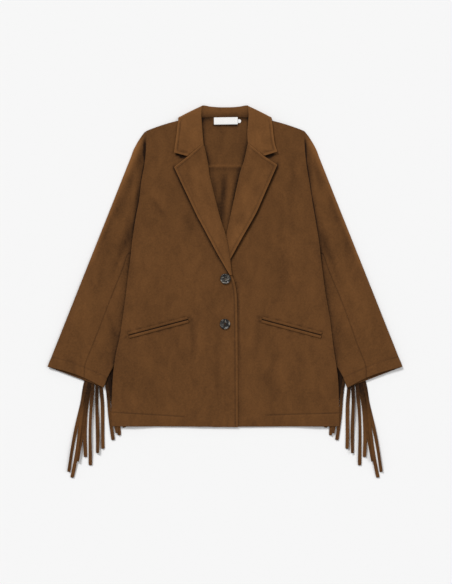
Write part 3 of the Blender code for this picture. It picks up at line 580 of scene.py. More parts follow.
def frontPlan(side):
    low, high = frontLook["hemLow"], body["shoulderEnd"]
    share = stops(high - low, frontLook["hemRows"], frontLook["topRows"], frontLook["rows"])
    cornerX, cornerY = body["neckCorner"]
    plan = []
    for height in low + (high - low) * share:
        v = (height - low) / (high - low)
        innerY = low + v * (cornerY - low)
        outer = side * float(halfWidth(side, height))
        inner = float(tableAt(body[hands[side] + "Edge"], innerY))
        inner = inner + (side * cornerX - inner) * float(ease(v, 0.985, 1.0))
        width = math.hypot(inner - outer, innerY - height)
        across = stops(width, frontLook["sideStops"], frontLook["edgeStops"], frontLook["columns"])
        x = outer + across * (inner - outer)
        y = height + across * (innerY - height)
        y = y + body["shoulderBow"] * np.sin(math.pi * across) ** 0.7 * ease(v, 0.86, 1)
        y = y - body["hemDip"] * across**3 * (1 - ease(height, 0, 120))
        plan.append(np.stack([x, y], axis=-1))
    return np.array(plan)


def buildFront(side):
    name = "front_" + hands[side]
    plan = frontPlan(side)
    x, y = plan[..., 0], plan[..., 1]
    inside = np.linalg.norm(plan - plan[:, -1:], axis=-1)
    stitched = 1 - ease(y, 352, 372)
    facing = frontLook["facingX"][side]
    stitchBase, stitchRise = frontLook["hemStitch"][side]
    hemLine = stitchBase + stitchRise * (np.abs(x) - abs(facing))
    groove = bell(inside, cloth["edgeStitch"], 1.1) * stitched
    groove = np.clip(groove + bell(y, hemLine, 1.2) * ease(side * (x - facing), -2, 2), 0, 1)
    facingMark = bell(x, facing, 1.8) * (1 - ease(y, hemLine - 2, hemLine + 2))
    puff = frontLook["edgePuff"] * (1 - ease(inside, 4.5, 6.5)) * ease(inside, -2.5, 2.0) * stitched
    puff = puff + 0.6 * (1 - ease(y - hemLine, -6, -1)) * ease(y - plan[:1, :, 1], -3, 3)
    relief = puff - frontLook["grooveDeep"] * groove - 0.25 * facingMark
    # darker along the stitched grooves and the facing's mark, a painted highlight on the puffed edge
    # strip, a painted shadow beside the lapel and, on the right front, beside the left front's edge
    rim = (1 - ease(inside, 4.0, 6.0)) * stitched
    shadeAndNap = bodyShadeAndNap(x, y) + shadowBesideLapel(plan, side) - 0.42 * groove - 0.40 * facingMark + 0.14 * rim
    if side > 0:
        shadeAndNap = shadeAndNap + shadowBesideFrontEdge(x, y)
    middle = np.dstack([plan, frontHeight(side, x, y)])
    middle, relief, shadeAndNap = flipped(side, middle, relief, shadeAndNap)
    obj, top = shell(name, middle, cloth["single"], outerSuede, shadeAndNap, relief)
    dress(obj, name)
    top = flipped(side, top)[0]
    edge = top[:, int(np.argmin(np.abs(inside[20] - cloth["edgeStitch"])))]
    hemRun = []
    for k in range(3, x.shape[1] - 8):
        if side * (x[0, k] - facing) > 1:
            hemRun.append([np.interp(hemLine[9, k], y[:30, k], top[:30, k, axis]) for axis in range(3)])
    order = np.argsort(top[0, :, 0])
    facingRun = [[np.interp(facing, row[order, 0], row[order, axis]) for axis in range(3)]
                 for row in top[2:24]]
    facingRun = [place for place in facingRun if place[1] < stitchBase - 1]  # caught to the hem
    runs = [edge[edge[:, 1] < frontLook["stitchTop"]], hemRun, facingRun]
    threads = stitchRun(name + "_stitching", runs)


for side in hands:
    buildFront(side)
print("fronts made")


# Back and yoke: the yoke and the strip below its seam show inside the neck

backLook = {
    "sideStops": [0, 1.2, 4.0, 9.0], "columns": 70, "rows": 56, "yokeRows": 30,
    "hemRows": [0, 1.0, 4.0, 12.0, 20.0, 24.0, 25.0, 26.0, 29.0], "seamRows": [0, 0.8, 1.8, 3.2, 5.0],
    "creases": [(-16, 590, -12, 430, 2, 6, -0.6), (18, 592, 22, 470, -2, 8, 0.5)],
    "hemStitch": 25.0, "tableGap": 0.02,
}


def shoulderTop(x):
    half, cornerX, cornerY = 182.0, *body["neckCorner"]
    share = np.clip((half - np.abs(x)) / (half - cornerX), 0, 1)
    shoulder = body["shoulderEnd"] + share * (cornerY - body["shoulderEnd"])
    shoulder = shoulder + body["shoulderBow"] * np.sin(math.pi * share) ** 0.7
    inside = body["neckSeam"] + (cornerY - body["neckSeam"]) * ease(np.abs(x), 50, cornerX)
    return np.where(np.abs(x) < cornerX, inside, shoulder)


def backHeight(x, y):
    half = cloth["single"] / 2
    folds = foldSum(body["backFolds"], x, y)
    height = backFloor(x, y) + folds + half + foldSum(backLook["creases"], x, y)
    return np.maximum(height, half + backLook["tableGap"])


def rowAcross(height):
    # x from side to side at a height, and the right end
    left, right = -float(halfWidth(-1, height)), float(halfWidth(1, height))
    share = stops(right - left, backLook["sideStops"], backLook["sideStops"], backLook["columns"])
    return left + (right - left) * share, right


def buildBack():
    low, high = frontLook["hemLow"] + 0.6, body["yokeSeam"] + 0.1
    share = stops(high - low, backLook["hemRows"], backLook["seamRows"], backLook["rows"])
    plan = []
    for height in low + (high - low) * share:
        x, right = rowAcross(height)
        dip = body["hemDip"] * (1 - np.abs(x) / right) ** 3 * (1 - ease(height, 0, 120))
        plan.append(np.stack([x, height - dip], axis=-1))
    x, y = np.moveaxis(np.array(plan), -1, 0)
    fromSeam = high - y
    # painted shade: darker overall inside the jacket and beside the lapels, with a lighter fold, a
    # painted highlight on the yoke seam's ridge and painted shade just below it
    shadeAndNap = foldSum(shadeAndNapMarks["inside"], x, y) - 0.10
    shadeAndNap = shadeAndNap + 0.45 * bell(fromSeam, 0, 2.0) - 0.25 * bell(fromSeam, 5, 2.4)
    middle = np.dstack([x, y, backHeight(x, y)])
    relief = 0.1 * bell(fromSeam, 0, 2.0)
    obj, top = shell("back", middle, cloth["single"], shadedInsideSuede, shadeAndNap, relief)
    dress(obj, "back")
    hemRow = int(np.argmin(np.abs(y[:, 8] - y[0, 8] - backLook["hemStitch"])))
    underside = top[hemRow] - np.array([0, 0, cloth["single"] - 0.25])
    threads = stitchRun("back_stitching", [underside])


def buildYoke():
    low = body["yokeSeam"]
    plan = []
    for share in stops(100.0, backLook["seamRows"], backLook["seamRows"], backLook["yokeRows"]):
        x = rowAcross(low + share * (body["shoulderEnd"] - low))[0]
        plan.append(np.stack([x, low + share * (shoulderTop(x) - low)], axis=-1))
    x, y = np.moveaxis(np.array(plan), -1, 0)
    relief = 0.35 * bell(y - low, 1.5, 2.2)
    neckGap = np.minimum(*[np.abs(x - tableAt(body[hand + "Edge"], y)) for hand in hands.values()])
    # painted highlight on the seam's ridge, painted shade under the neck seam, a painted shadow below
    # the label and painted shade beside the fronts' edges
    shadeAndNap = 0.50 * bell(y - low, 0.5, 2.0) - 0.85 * bell(y, 712, 9) * ease(np.abs(x), 20, 34)
    shadowBelowLabel = 0.95 * bell(y, 693.0, 3.2) * (1 - ease(np.abs(x - 2), 27, 31))
    shadeAndNap = shadeAndNap - shadowBelowLabel - 0.85 * bell(neckGap, 0, 7)
    middle = np.dstack([x, y, backHeight(x, y)])
    obj = shell("back_yoke", middle, cloth["single"], shadedInsideSuede, shadeAndNap, relief)[0]
    dress(obj, "back_yoke")


buildBack()
buildYoke()
print("back made")


# Lapels: turned at the roll line and lifted a little along their free edges

def buildLapel(side):
    name = "lapel_" + hands[side]
    own = lapelLook[hands[side]]
    high = lapelLook["rollTop"]
    rowShare = stops(high - own["low"], [0, 1.5, 5.0], lapelLook["stops"], lapelLook["rows"])
    heights = own["low"] + (high - own["low"]) * rowShare
    rollLine = np.stack([tableAt(body[hands[side] + "Edge"], heights), heights], axis=-1)
    outerLine = along(curve(own["outer"]), rowShare)
    straight = (outerLine[-1] + rollLine[-1]) / 2
    plan = []
    for outer, roll, share in zip(outerLine, rollLine, rowShare):
        across = stops(np.linalg.norm(roll - outer), lapelLook["stops"], [0, 2.0], lapelLook["columns"])
        bend = (1 - np.abs(2 * across - 1)) * float(ease(share, 0.8, 1))
        row = outer + (roll - outer) * across[:, None]
        plan.append(row + (np.array(own["corner"]) - straight) * bend[:, None])
    plan = np.array(plan)
    x, y = plan[..., 0], plan[..., 1]
    outline = np.concatenate([curve(own["outer"]), [own["corner"]], rollLine[-1:]])
    fromEdge = outlineDistance(plan, outline)
    fromRoll = np.linalg.norm(plan - plan[:, -1:], axis=-1)
    creases = foldSum(lapelLook["creases"], x, y)
    lift = (1 - ease(fromEdge, 2, 26)) * ease(y, own["low"] + 2, own["low"] + 70) * ease(fromRoll, 3, 22)
    height = frontHeight(side, x, y) + lapelAbove + lapelLook["lift"] * lift
    middle = np.dstack([plan, height + creases * ease(fromRoll, 3, 16)])
    drop = lapelAbove / 2
    arcs = []
    for turn in np.linspace(0, math.pi, 6)[1:]:  # round the roll line, down to the front's own edge
        arc = middle[:, -1] + np.array([-side * drop * math.sin(turn), 0, 0])
        arc[:, 2] += drop * (math.cos(turn) - 1)
        arcs.append(arc)
    grid = np.concatenate([middle, np.array(arcs).transpose(1, 0, 2)], axis=1)
    pad = ((0, 0), (0, len(arcs)))
    groove = bell(fromEdge, cloth["edgeStitch"], 1.1) * ease(fromRoll, 3, 12)
    relief = -0.3 * groove + 0.25 * (1 - ease(fromEdge, 4.5, 6.5)) * ease(fromEdge, -2.5, 2)
    # lighter overall, a painted highlight along the outer edge, darker along the stitch groove, painted
    # shade at the roll line, and lighter on crease ridges and darker in their troughs
    shadeAndNap = 0.22 - 0.26 * groove + 0.34 * (1 - ease(fromEdge, 1.0, 3.0)) + 0.16 * creases
    shadeAndNap = shadeAndNap + foldSum(shadeAndNapMarks[hands[side] + "Lapel"], x, y) - 0.18 * bell(fromRoll, 0, 4)
    grid, relief, shadeAndNap = flipped(side, grid, np.pad(relief, pad), np.pad(shadeAndNap, pad, mode="edge"))
    obj, top = shell(name, grid, cloth["double"], outerSuede, shadeAndNap, relief)
    dress(obj, name)
    top = flipped(side, top)[0]
    column = int(np.argmin(np.abs(np.array(lapelLook["stops"]) - (cloth["edgeStitch"] - 0.4))))
    row = len(rowShare) - 1 - column
    runs = [top[3:row + 1, column], top[row, column:-len(arcs) - 2]]
    threads = stitchRun(name + "_stitching", runs)


for side in hands:
    buildLapel(side)
print("lapels made")


# Collar: two wings in front, turned over the shoulders and down behind the neck

collarLook = {
    # roll x, y, drop below the wing, silhouette x, y, length past the turn
    "sections": [
        (-53.0, 672.0, 0, -114, 650, 0), (-54.5, 692.0, 0, -111, 671, 0),
        (-55.5, 705.0, 0, -109, 692, 0), (-56.0, 711.0, 0, -108, 706, 1.0),
        (-56.0, 714.0, 0, -106.5, 709.3, 4.0), (-55.9, 716.5, 0, -103, 711.7, 9.0),
        (-55.4, 721.0, 0.2, -93, 717.2, 22.0), (-54.8, 728.0, 0.9, -79, 724.8, 36.0),
        (-54.0, 734.0, 2.0, -66, 731.7, 44.0), (-52.0, 737.2, 3.2, -56.5, 737.0, 49.0),
        (-47.0, 736.9, 4.2, -47.5, 739.3, 51.0), (-36.0, 734.9, 4.6, -36, 737.2, 51.0),
        (-18.0, 733.2, 4.6, -18, 735.5, 50.0)],
    "centre": (0.0, 732.8, 4.6, 0, 735.1, 49.5),
    "left": ((-51.0, 651.2), (-86.0, 621.4), (-117.0, 629.5)),  # roll, notch, tip
    "right": ((54.1, 651.5), (89.6, 622.2), (120.0, 631.5)),
    "out": (-0.48, 0.877), "radius": 2.8, "neckRadius": 1.4, "under": 1.4, "lift": 4.0,
    "rollSteps": 4, "gorgeSteps": 10, "topSteps": 16, "pastSteps": 10,
    "stitches": [[(-80.5, 626.8), (-109.8, 634.3), (-107.5, 650), (-104.6, 671.5), (-102.6, 692),
                  (-102.2, 702)],
                 [(84.2, 627.5), (113, 636.2), (108.6, 650), (104.6, 671.5), (102.6, 692),
                  (102.2, 702)]],
    "fade": (655, 712), "rollDepth": 2.6,  # heights over which a wing flattens, depth at its roll
    "frontTop": 712.0, "upper": 4.5,  # the fronts are level past this y, the fall is under this z
}


def layOn(cloud, path):
    # heights for a plan path, from a small plane through the nearest points of a surface
    line = np.asarray(path, float)
    laid = []
    for place in along(line, np.linspace(0, 1, int(runAlong(line)[-1] / 2.0))):
        near = cloud[np.argsort(np.linalg.norm(cloud[:, :2] - place, axis=1))[:8]]
        plane = np.column_stack([near[:, :2] - place, np.ones(8)])
        laid.append((*place, np.linalg.lstsq(plane, near[:, 2], rcond=None)[0][2]))
    return laid


def wingHeight(x, y):
    side = -1 if x < 0 else 1
    return float(frontHeight(side, np.array(x), np.array(min(y, collarLook["frontTop"])))) + lapelAbove


def collarFade(y):
    return 1 - 0.85 * float(ease(y, *collarLook["fade"]))


def wingTop(plan, shares, drop, lift):
    # from the roll to near the wing's edge, resting on the front and lifted towards its edge
    return [(x, y, wingHeight(x, y) - drop + lift * float(ease(s, 0.45, 1.0)))
            for (x, y), s in zip(plan, shares)]


def rolledInner(first, second, depth):
    # samples that come up round the roll line before the wing's top begins
    out = unit(np.array(first[:2]) - np.array(second[:2]))
    radius = depth / 2
    made = []
    for turn in np.linspace(math.pi, 0, collarLook["rollSteps"] + 1)[:-1]:
        place = np.array(first[:2]) + out * radius * math.sin(turn)
        made.append((*place, first[2] - radius + radius * math.cos(turn)))
    return made


def collarSection(row):
    rollX, rollY, drop, edgeX, edgeY, past = row
    roll, edge = np.array([rollX, rollY]), np.array([edgeX, edgeY])
    onShoulder = edgeX < -50
    radius = collarLook["radius" if onShoulder else "neckRadius"]
    nTop, nPast = collarLook["topSteps"], collarLook["pastSteps"]
    if past == 0:  # lies on the front all the way
        turn = 1 - radius / math.dist(edge, roll)
        shares = np.concatenate([np.linspace(0, turn, nTop), np.linspace(turn, 1, nPast + 1)[1:]])
        plan = roll + (edge - roll) * shares[:, None]
        top = wingTop(plan, shares, 0, collarLook["lift"] * collarFade(edgeY))
        return np.array(rolledInner(top[0], top[4], collarLook["rollDepth"]) + top)
    out = np.array(collarLook["out"]) if onShoulder else np.array([0.0, 1.0])
    centre = edge - out * radius
    lift = collarLook["lift"] * collarFade(edgeY) * float(ease(-edgeX, 56, 80))
    shares = np.linspace(0, 1, nTop)
    top = wingTop(roll + (centre - roll) * shares[:, None], shares, drop, lift)
    high = wingHeight(*centre) - drop + lift
    low = collarLook["under"]
    middle, tall = (high + low) / 2, max((high - low) / 2, 0.8)
    arc = [(*(centre + out * radius * math.sin(a)), middle + tall * math.cos(a))
           for a in np.linspace(0, math.pi, 17)]
    arc.append((*(centre + unit(np.array([rollX * 1.04, rollY - 50.0]) - centre) * 60.0), low))
    beyond = along(arc, np.linspace(0, past / runAlong(arc)[-1], nPast + 1)[1:])
    depth = collarLook["rollDepth"] if rollY < 712 else 2.0 * float(1 - ease(drop, 1.5, 4.0)) + 0.5
    return np.array(rolledInner(top[0], top[-1], depth) + top + beyond.tolist())


def collarFront(roll, notch, tip):
    nGorge, nPast = collarLook["gorgeSteps"], collarLook["pastSteps"]
    share = collarLook["radius"] / math.dist(notch, tip)
    near = np.array(tip) + (np.array(notch) - np.array(tip)) * share
    gorge = along([roll, notch], np.linspace(0, 1, nGorge))
    free = along([notch, near], np.linspace(0, 1, collarLook["topSteps"] - nGorge + 1))[1:]
    plan = np.vstack([gorge, free, along([near, tip], np.linspace(0, 1, nPast + 1))[1:]])
    run = runAlong(plan)
    top = wingTop(plan, run / run[-1], 0, collarLook["lift"])
    return np.array(rolledInner(top[0], top[3], collarLook["rollDepth"]) + top)


def buildCollar():
    left = [collarFront(*collarLook["left"])] + [collarSection(row) for row in collarLook["sections"]]
    right = [section * (-1, 1, 1) for section in left[:0:-1]]
    right.append(collarFront(*collarLook["right"]))
    grid = curve(np.array([*left, collarSection(collarLook["centre"]), *right]), 5)
    tight = np.array([0.06, 0.2, 0.6])[:, None, None]  # finer rows beside both gorge seams
    first = grid[0] + (grid[1] - grid[0]) * tight
    last = grid[-1] + (grid[-2] - grid[-1]) * tight[::-1]
    grid = np.concatenate([grid[:1], first, grid[1:-1], last, grid[-1:]])
    x, y, z = np.moveaxis(grid, -1, 0)
    nRoll, split = collarLook["rollSteps"], collarLook["gorgeSteps"]
    third, flat = len(grid) // 3, nRoll + collarLook["topSteps"] - 1
    outX, outY = collarLook["out"]
    edges = []
    for side, wing in ((-1, grid[:third]), (1, grid[-third:])):
        reach = side * wing[:, flat:, 0] * -outX + wing[:, flat:, 1] * outY
        edges.append(wing[np.arange(third), flat + reach.argmax(axis=1)])  # each row's outermost sample
    freeLeft, freeRight = grid[0, nRoll:][split - 1:], grid[-1, nRoll:][:split - 2:-1]
    fromEdge = np.minimum(outlineDistance(grid, np.concatenate([freeLeft, edges[0]])),
                          outlineDistance(grid, np.concatenate([edges[1], freeRight])))
    upper = np.where(z < collarLook["upper"], 0, 1)
    onWing = (1 - ease(y, 700, 710)) * upper
    groove = bell(fromEdge, cloth["edgeStitch"], 1.3) * onWing
    puff = 0.25 * (1 - ease(fromEdge, 4.0, 6.0)) * ease(fromEdge, -2.5, 2) * onWing
    # lighter overall, a painted highlight along the free edges of the top layer, darker along the stitch
    # groove
    shadeAndNap = 0.38 - 0.55 * groove + 0.20 * (1 - ease(fromEdge, 1.0, 3.0)) * upper
    grid, relief, shadeAndNap = flipped(1, grid, puff - 0.35 * groove, shadeAndNap + foldSum(shadeAndNapMarks["collar"], x, y))
    obj, top = shell("collar", grid, cloth["double"], outerSuede, shadeAndNap, relief)
    dress(obj, "collar")
    top = top[top[..., 2] > collarLook["upper"]]
    threads = stitchRun("collar_stitching", [layOn(top, path) for path in collarLook["stitches"]])


standLook = {
    # share of the height, height of the middle
    "rows": [(0.0, 4.5), (0.12, 4.9), (0.4, 5.2), (0.7, 5.2), (0.9, 4.9), (1.0, 4.5)],
    "low": 710.5, "high": 733.2, "bow": 4.0, "half": 55.0, "narrowing": 2.5, "thick": 1.4,
}


def buildStand():
    across = np.linspace(-1, 1, 33)
    low = standLook["low"]
    grid = []
    for share, height in curve(standLook["rows"], 3):
        half = standLook["half"] - standLook["narrowing"] * share
        topY = standLook["high"] + standLook["bow"] * across**2
        y = low + share * (topY - low)
        grid.append(np.stack([across * half, y, np.full_like(across, height)], axis=-1))
    grid = np.array(grid)
    x, y = np.abs(grid[..., 0]), grid[..., 1]
    # painted shade: darker towards the neck seam and at both ends of the stand
    shadeAndNap = -0.42 + 0.62 * ease(y, 711, 727) - 0.22 * bell(x, 54, 6)
    obj = dress(shell("collar_stand", grid, standLook["thick"], outerSuede, shadeAndNap)[0], "collar_stand")


buildCollar()
buildStand()
print("collar made")


# Sleeves: an upper piece round the outer fold and an under piece round the inner one

sleeveLook = {
    # outer y, inner y, tuck under the body, front seam, back seam, floor, loft
    "sections": [
        (138, 90, -20.4, 0.639, 0.609, 3.5, 1.2), (166, 118, -11, 0.572, 0.596, 3.5, 1.2),
        (213, 158, 7, 0.542, 0.559, 3.5, 1.1), (279, 217, 23, 0.522, 0.524, 3.5, 1.1),
        (346, 284, 31, 0.549, 0.509, 3.3, 1.1), (403, 335, 33, 0.599, 0.524, 2.0, 1.1),
        (455, 372, 20, 0.702, 0.637, 0.9, 1.0), (494, 401.5, 0.7, 1.0, 1.0, 0.3, 0.9)],
    "cap": [
        (522, 440), (552.5, 482), (581, 524), (606, 562), (630, 599), (651, 635), (665.5, 660),
        (678.6, 674)],
    "outer": [(138, 407), (619, 216), (636, 210), (653, 201), (667, 192), (679, 182.5)],
    "puff": 1.6, "puffWidth": 34.0, "cuffBow": 6.0, "capTuck": 0.7, "capPuff": 2.6,
    # x, y, to x, to y, bow, half width, height, all placed on the left and mirrored for the right
    "folds": [
        (-226, 545, -262, 425, 0, 15, 0.8), (-268, 470, -318, 330, 0, 18, 0.7),
        (-300, 300, -352, 190, 0, 20, 0.8)],
    "leftCreases": [
        (-190, 640, -224, 545, 0, 8, -1.0), (-222, 548, -262, 466, 0, 8, -0.7),
        (-256, 480, -298, 396, 0, 8, -0.5), (-210, 470, -262, 338, 0, 9, -0.8),
        (-187, 662, -203, 545, 0, 5, -1.5), (-198, 650, -210, 520, 2, 6, 1.4),
        (-214, 600, -250, 470, 4, 9, 0.8), (-236, 560, -300, 390, -4, 8, -0.7),
        (-262, 420, -300, 300, 5, 9, -0.7), (-280, 400, -340, 240, -5, 12, 0.8),
        (-318, 330, -372, 190, 3, 10, 0.6), (-244, 330, -282, 230, -4, 9, 0.6),
        (-290, 200, -318, 130, 3, 10, 0.5)],
    "rightCreases": [
        (-195, 622, -230, 536, 0, 8, -0.6), (-230, 542, -270, 448, 0, 8, -0.45),
        (-268, 456, -300, 370, 0, 9, -0.4), (-212, 462, -252, 362, 0, 9, -0.5),
        (-187, 660, -204, 540, 0, 5, -1.5), (-199, 652, -212, 512, -2, 6, 1.4),
        (-220, 590, -262, 450, -4, 9, 0.8), (-240, 540, -292, 400, 4, 8, -0.7),
        (-270, 430, -322, 290, -4, 9, -0.6), (-262, 380, -310, 260, 4, 12, 0.8),
        (-330, 340, -380, 200, -3, 10, 0.6), (-250, 320, -276, 220, 4, 9, 0.6),
        (-300, 210, -336, 140, -3, 10, 0.5)],
    "hem": 24.0,
    # rows at the cuff and round its stitch line, in steps of the first sections
    "cuffRows": [0, 0.08, 0.3, 1, 3, 5.2, 6.4, 6.9, 7.4, 8.6], "seamStops": [0, 0.3, 0.9, 2.5, 6.0],
    "cuff": (138, 190), "seamGap": 0.05, "tuckUnder": 1.5,
}


def sleeveRows(side, count):
    # section values at close steps from the cuff to the shoulder
    table = [list(row) for row in sleeveLook["sections"]]
    least = sleeveLook["capTuck"]
    table += [[outer, inner, least, 1.0, 1.0, 0.3, 0.6] for outer, inner in sleeveLook["cap"]]
    outerLine = np.array(sleeveLook["outer"], float).T
    made = []
    for outerY, innerY, tuck, front, rear, floor, loft in curve(table, 8)[:count]:
        outer = np.array([side * np.interp(outerY, *outerLine), outerY])
        tuck = max(tuck, least) if innerY > 380 else tuck
        inner = np.array([side * (float(halfWidth(side, innerY)) - tuck), innerY])
        made.append((outer, inner, min(front, 1.0), min(rear, 1.0), max(floor, 0.3), max(loft, 0.5)))
    return made


def upperPoint(section, share, cuffShare, side):
    outer, inner, front, floor, loft = (*section[:3], *section[4:])
    width = np.linalg.norm(inner - outer)
    place = outer + (inner - outer) * share
    fromOuter, fromInner = share * width, (1 - share) * width
    puff = sleeveLook["puff"] * (1 - (1 - min(fromOuter / sleeveLook["puffWidth"], 1)) ** 2)
    capped = front >= 0.9999
    if capped:
        valley = ease(fromInner, 1, 15) * ease(fromOuter, 0, 12) * ease(outer[1], 500, 560)
        puff = puff * ease(fromInner, 0, 22) + sleeveLook["capPuff"] * valley
    else:
        puff = puff * ease(fromInner, 45, 75)
    x, y = -abs(place[0]), place[1]
    clear = ease(fromOuter, 0, 16) * (ease(fromInner, 4, 24) if capped else ease(fromInner, 22, 45))
    creases = foldSum(sleeveLook[hands[side] + "Creases"], x, y)
    puff = float(puff + clear * (foldSum(sleeveLook["folds"], x, y) + creases))
    run = (outer - inner) / width
    bow = sleeveLook["cuffBow"] * math.sin(math.pi * share) * cuffShare
    place = place + np.array([run[1], -run[0]]) * (1 if run[0] < 0 else -1) * bow
    return [*place, floor + cloth["single"] * 1.5 + loft + puff]


def foldRound(section, atOuter, steps=7):
    end, other, floor, loft = (*section[:2], *section[4:])
    if not atOuter:
        end, other = other, end
    radius = (cloth["single"] + loft) / 2
    out = unit(end - other)
    centre = end - out * radius
    middle = floor + cloth["single"] / 2 + radius
    return [[*(centre + out * radius * math.sin(a)), middle + radius * math.cos(a)]
            for a in np.linspace(0, math.pi, steps)]


def sleeveShadeAndNap(grid, side, fromCuff):
    # painted highlight along the outer fold, painted shade beside the body, along the armhole seam, on
    # the lower layer at the cuff and in the crease troughs, lighter on crease ridges, darker along the
    # hem stitch line
    x, y, z = -np.abs(grid[..., 0]), grid[..., 1], grid[..., 2]
    outward = x + np.interp(y, *np.array(sleeveLook["outer"], float).T)
    cap = ease(y, 560, 605)
    rim = (0.60 + 0.25 * cap) * bell(outward, 1, 6 + 3 * cap)
    shadeAndNap = rim * ease(y, 300, 430) * (1 - ease(y, 645, 675))
    fromBody = np.abs(x + halfWidth(side, y))
    shadeAndNap = shadeAndNap - 0.30 * bell(fromBody, 4, 15) * ease(y, 90, 190) * (1 - ease(y, 430, 540))
    shadeBesideBody = 0.40 + 0.35 * (1 - ease(y, 120, 240))
    shadeAndNap = shadeAndNap - shadeBesideBody * bell(fromBody, 0, 3.8) * ease(y, 70, 130) * (1 - ease(y, 420, 500))
    armholeShade = 0.75 * bell(fromBody, 0.5, 1.9) * ease(y, 430, 480) * (1 - ease(y, 610, 650))
    farLipShade = 0.4 * (1 - ease(z, 4.6, 5.6)) * (1 - ease(fromCuff, 4, 14))
    hem = 0.22 * bell(fromCuff, sleeveLook["hem"], 1.4)
    painted = foldSum(shadeAndNapMarks[hands[side] + "Sleeve"], x, y)
    creases = 0.12 * foldSum(sleeveLook[hands[side] + "Creases"], x, y)
    return shadeAndNap - armholeShade - farLipShade + painted + creases - hem


def seamShares(start, end, width, count):
    # even steps along the lower layer, with tight ones where it meets the other piece
    back = -1 if end > start else 1
    even = np.linspace(start, end + back * 2.5 / width, count)[1:]
    return np.concatenate([even, end + back * np.array([0.9, 0.3, 0]) / width])


def sleeveGrid(side, isTop):
    count = 8 * 15 + 1 if isTop else 8 * 7 - 1
    sections = sleeveRows(side, count)
    gap = sleeveLook["seamGap"]
    grid = []
    for at in [*sleeveLook["cuffRows"], *range(10, count - 1, 2), count - 1]:
        section = sections[int(at)]
        if at > int(at):
            section = [a + (b - a) * (at - int(at)) for a, b in zip(section, sections[int(at) + 1])]
        outer, inner, front, rear, floor, loft = section
        width = np.linalg.norm(inner - outer)
        turn = (cloth["single"] + loft) / 2 / width
        if isTop:
            start, sink = 3.0 * turn, 0
            frontEnd, rearEnd = [end if end >= 0.9999 else end - gap / width for end in (front, rear)]
        else:
            start = 1 - 2.2 * turn
            sink = sleeveLook["tuckUnder"] * float(ease(at, 8 * 6 + 1, 8 * 7 - 2))
            frontEnd = min(front + gap / width, start - 0.02)
            rearEnd = min(rear + gap / width, start - 0.04)
        span = max(abs(start - frontEnd) * width, 1.0)
        shares = stops(span, sleeveLook["seamStops"], [0, 3.0], 12 if isTop else 10)
        cuffShare = 1 - float(ease(outer[1], *sleeveLook["cuff"]))
        row = [upperPoint(section, frontEnd + (start - frontEnd) * s, cuffShare, side) for s in shares]
        row = [[x, y, z - sink] for x, y, z in row] + foldRound(section, isTop)
        row += [[*(outer + (inner - outer) * s), floor + cloth["single"] / 2]
                for s in seamShares(start, rearEnd, width, 10 if isTop else 8)]
        grid.append(row)
    grid = np.array(grid, float)
    return grid[:, ::-1] if (side < 0) == isTop else grid


def buildSleevePiece(side, part):
    name = f"sleeve_{part}_{hands[side]}"
    grid = sleeveGrid(side, part == "top")
    steps = np.linalg.norm(np.diff(grid, axis=0), axis=-1)
    fromCuff = np.concatenate([np.zeros((1, grid.shape[1])), np.cumsum(steps, axis=0)])
    seam = np.minimum(*[np.linalg.norm(grid - end, axis=-1) for end in (grid[:, :1], grid[:, -1:])])
    edge = bell(seam, 0, 1.2)
    puff = 0.45 * (1 - ease(fromCuff, 19, 24)) * ease(fromCuff, -3, 3)
    relief = puff - 0.3 * bell(fromCuff, sleeveLook["hem"], 1.3) - 0.3 * edge
    shadeAndNap = sleeveShadeAndNap(grid, side, fromCuff) - 0.28 * edge
    obj, top = shell(name, grid, cloth["single"], outerSuede, shadeAndNap, relief)
    dress(obj, name)
    row = int(np.argmin(np.abs(fromCuff.mean(axis=1) - sleeveLook["hem"])))
    threads = stitchRun(name + "_stitching", [top[row]])


for side in hands:
    buildSleevePiece(side, "top")
    buildSleevePiece(side, "under")
print("sleeves made")


# Fringe: strands cut from a strip that is caught in the back seam of each sleeve

fringeLook = {
    "stripLow": (-327.0, 118.0), "stripHigh": (-286.0, 231.0), "stripHalf": 2.5, "stripThick": 2.6,
    "stripMiddle": 1.75, "width": 8.6, "thick": 1.0, "levels": (0.3, 1.35, 2.4), "rings": 26,
    # cuff x, y, middle x, y, end x, y, twist in degrees, curl
    "strands": [
        (-321, 99, -341, -4, -360, -104, 35, 1.5), (-315, 99, -333, -9, -353, -117, -28, 2.0),
        (-312, 99, -326, 10, -338, -80, 40, 1.0), (-308, 99, -320, 39, -320, -70, -20, 1.2),
        (-304, 97, -308, 9, -311, -89, 30, 1.6), (-294, 97, -294, 18, -293, -61, -34, 1.0),
        (-285, 92, -282, 21, -279, -51, 24, 1.4), (-270, 88, -264, 28, -257, -31, -22, 0.8),
        (-260, 75, -254, 30, -249, -15, 30, 1.0), (-256, 75, -248, 28, -242, -20, -26, 1.2),
        (-251, 85, -240, 40, -230, -2, 18, 0.8)],
}

stripStart = np.array(fringeLook["stripLow"])
stripRun = np.array(fringeLook["stripHigh"]) - stripStart
stripIn = unit(stripRun)[::-1] * (1, -1)  # from the seam in towards the cuff


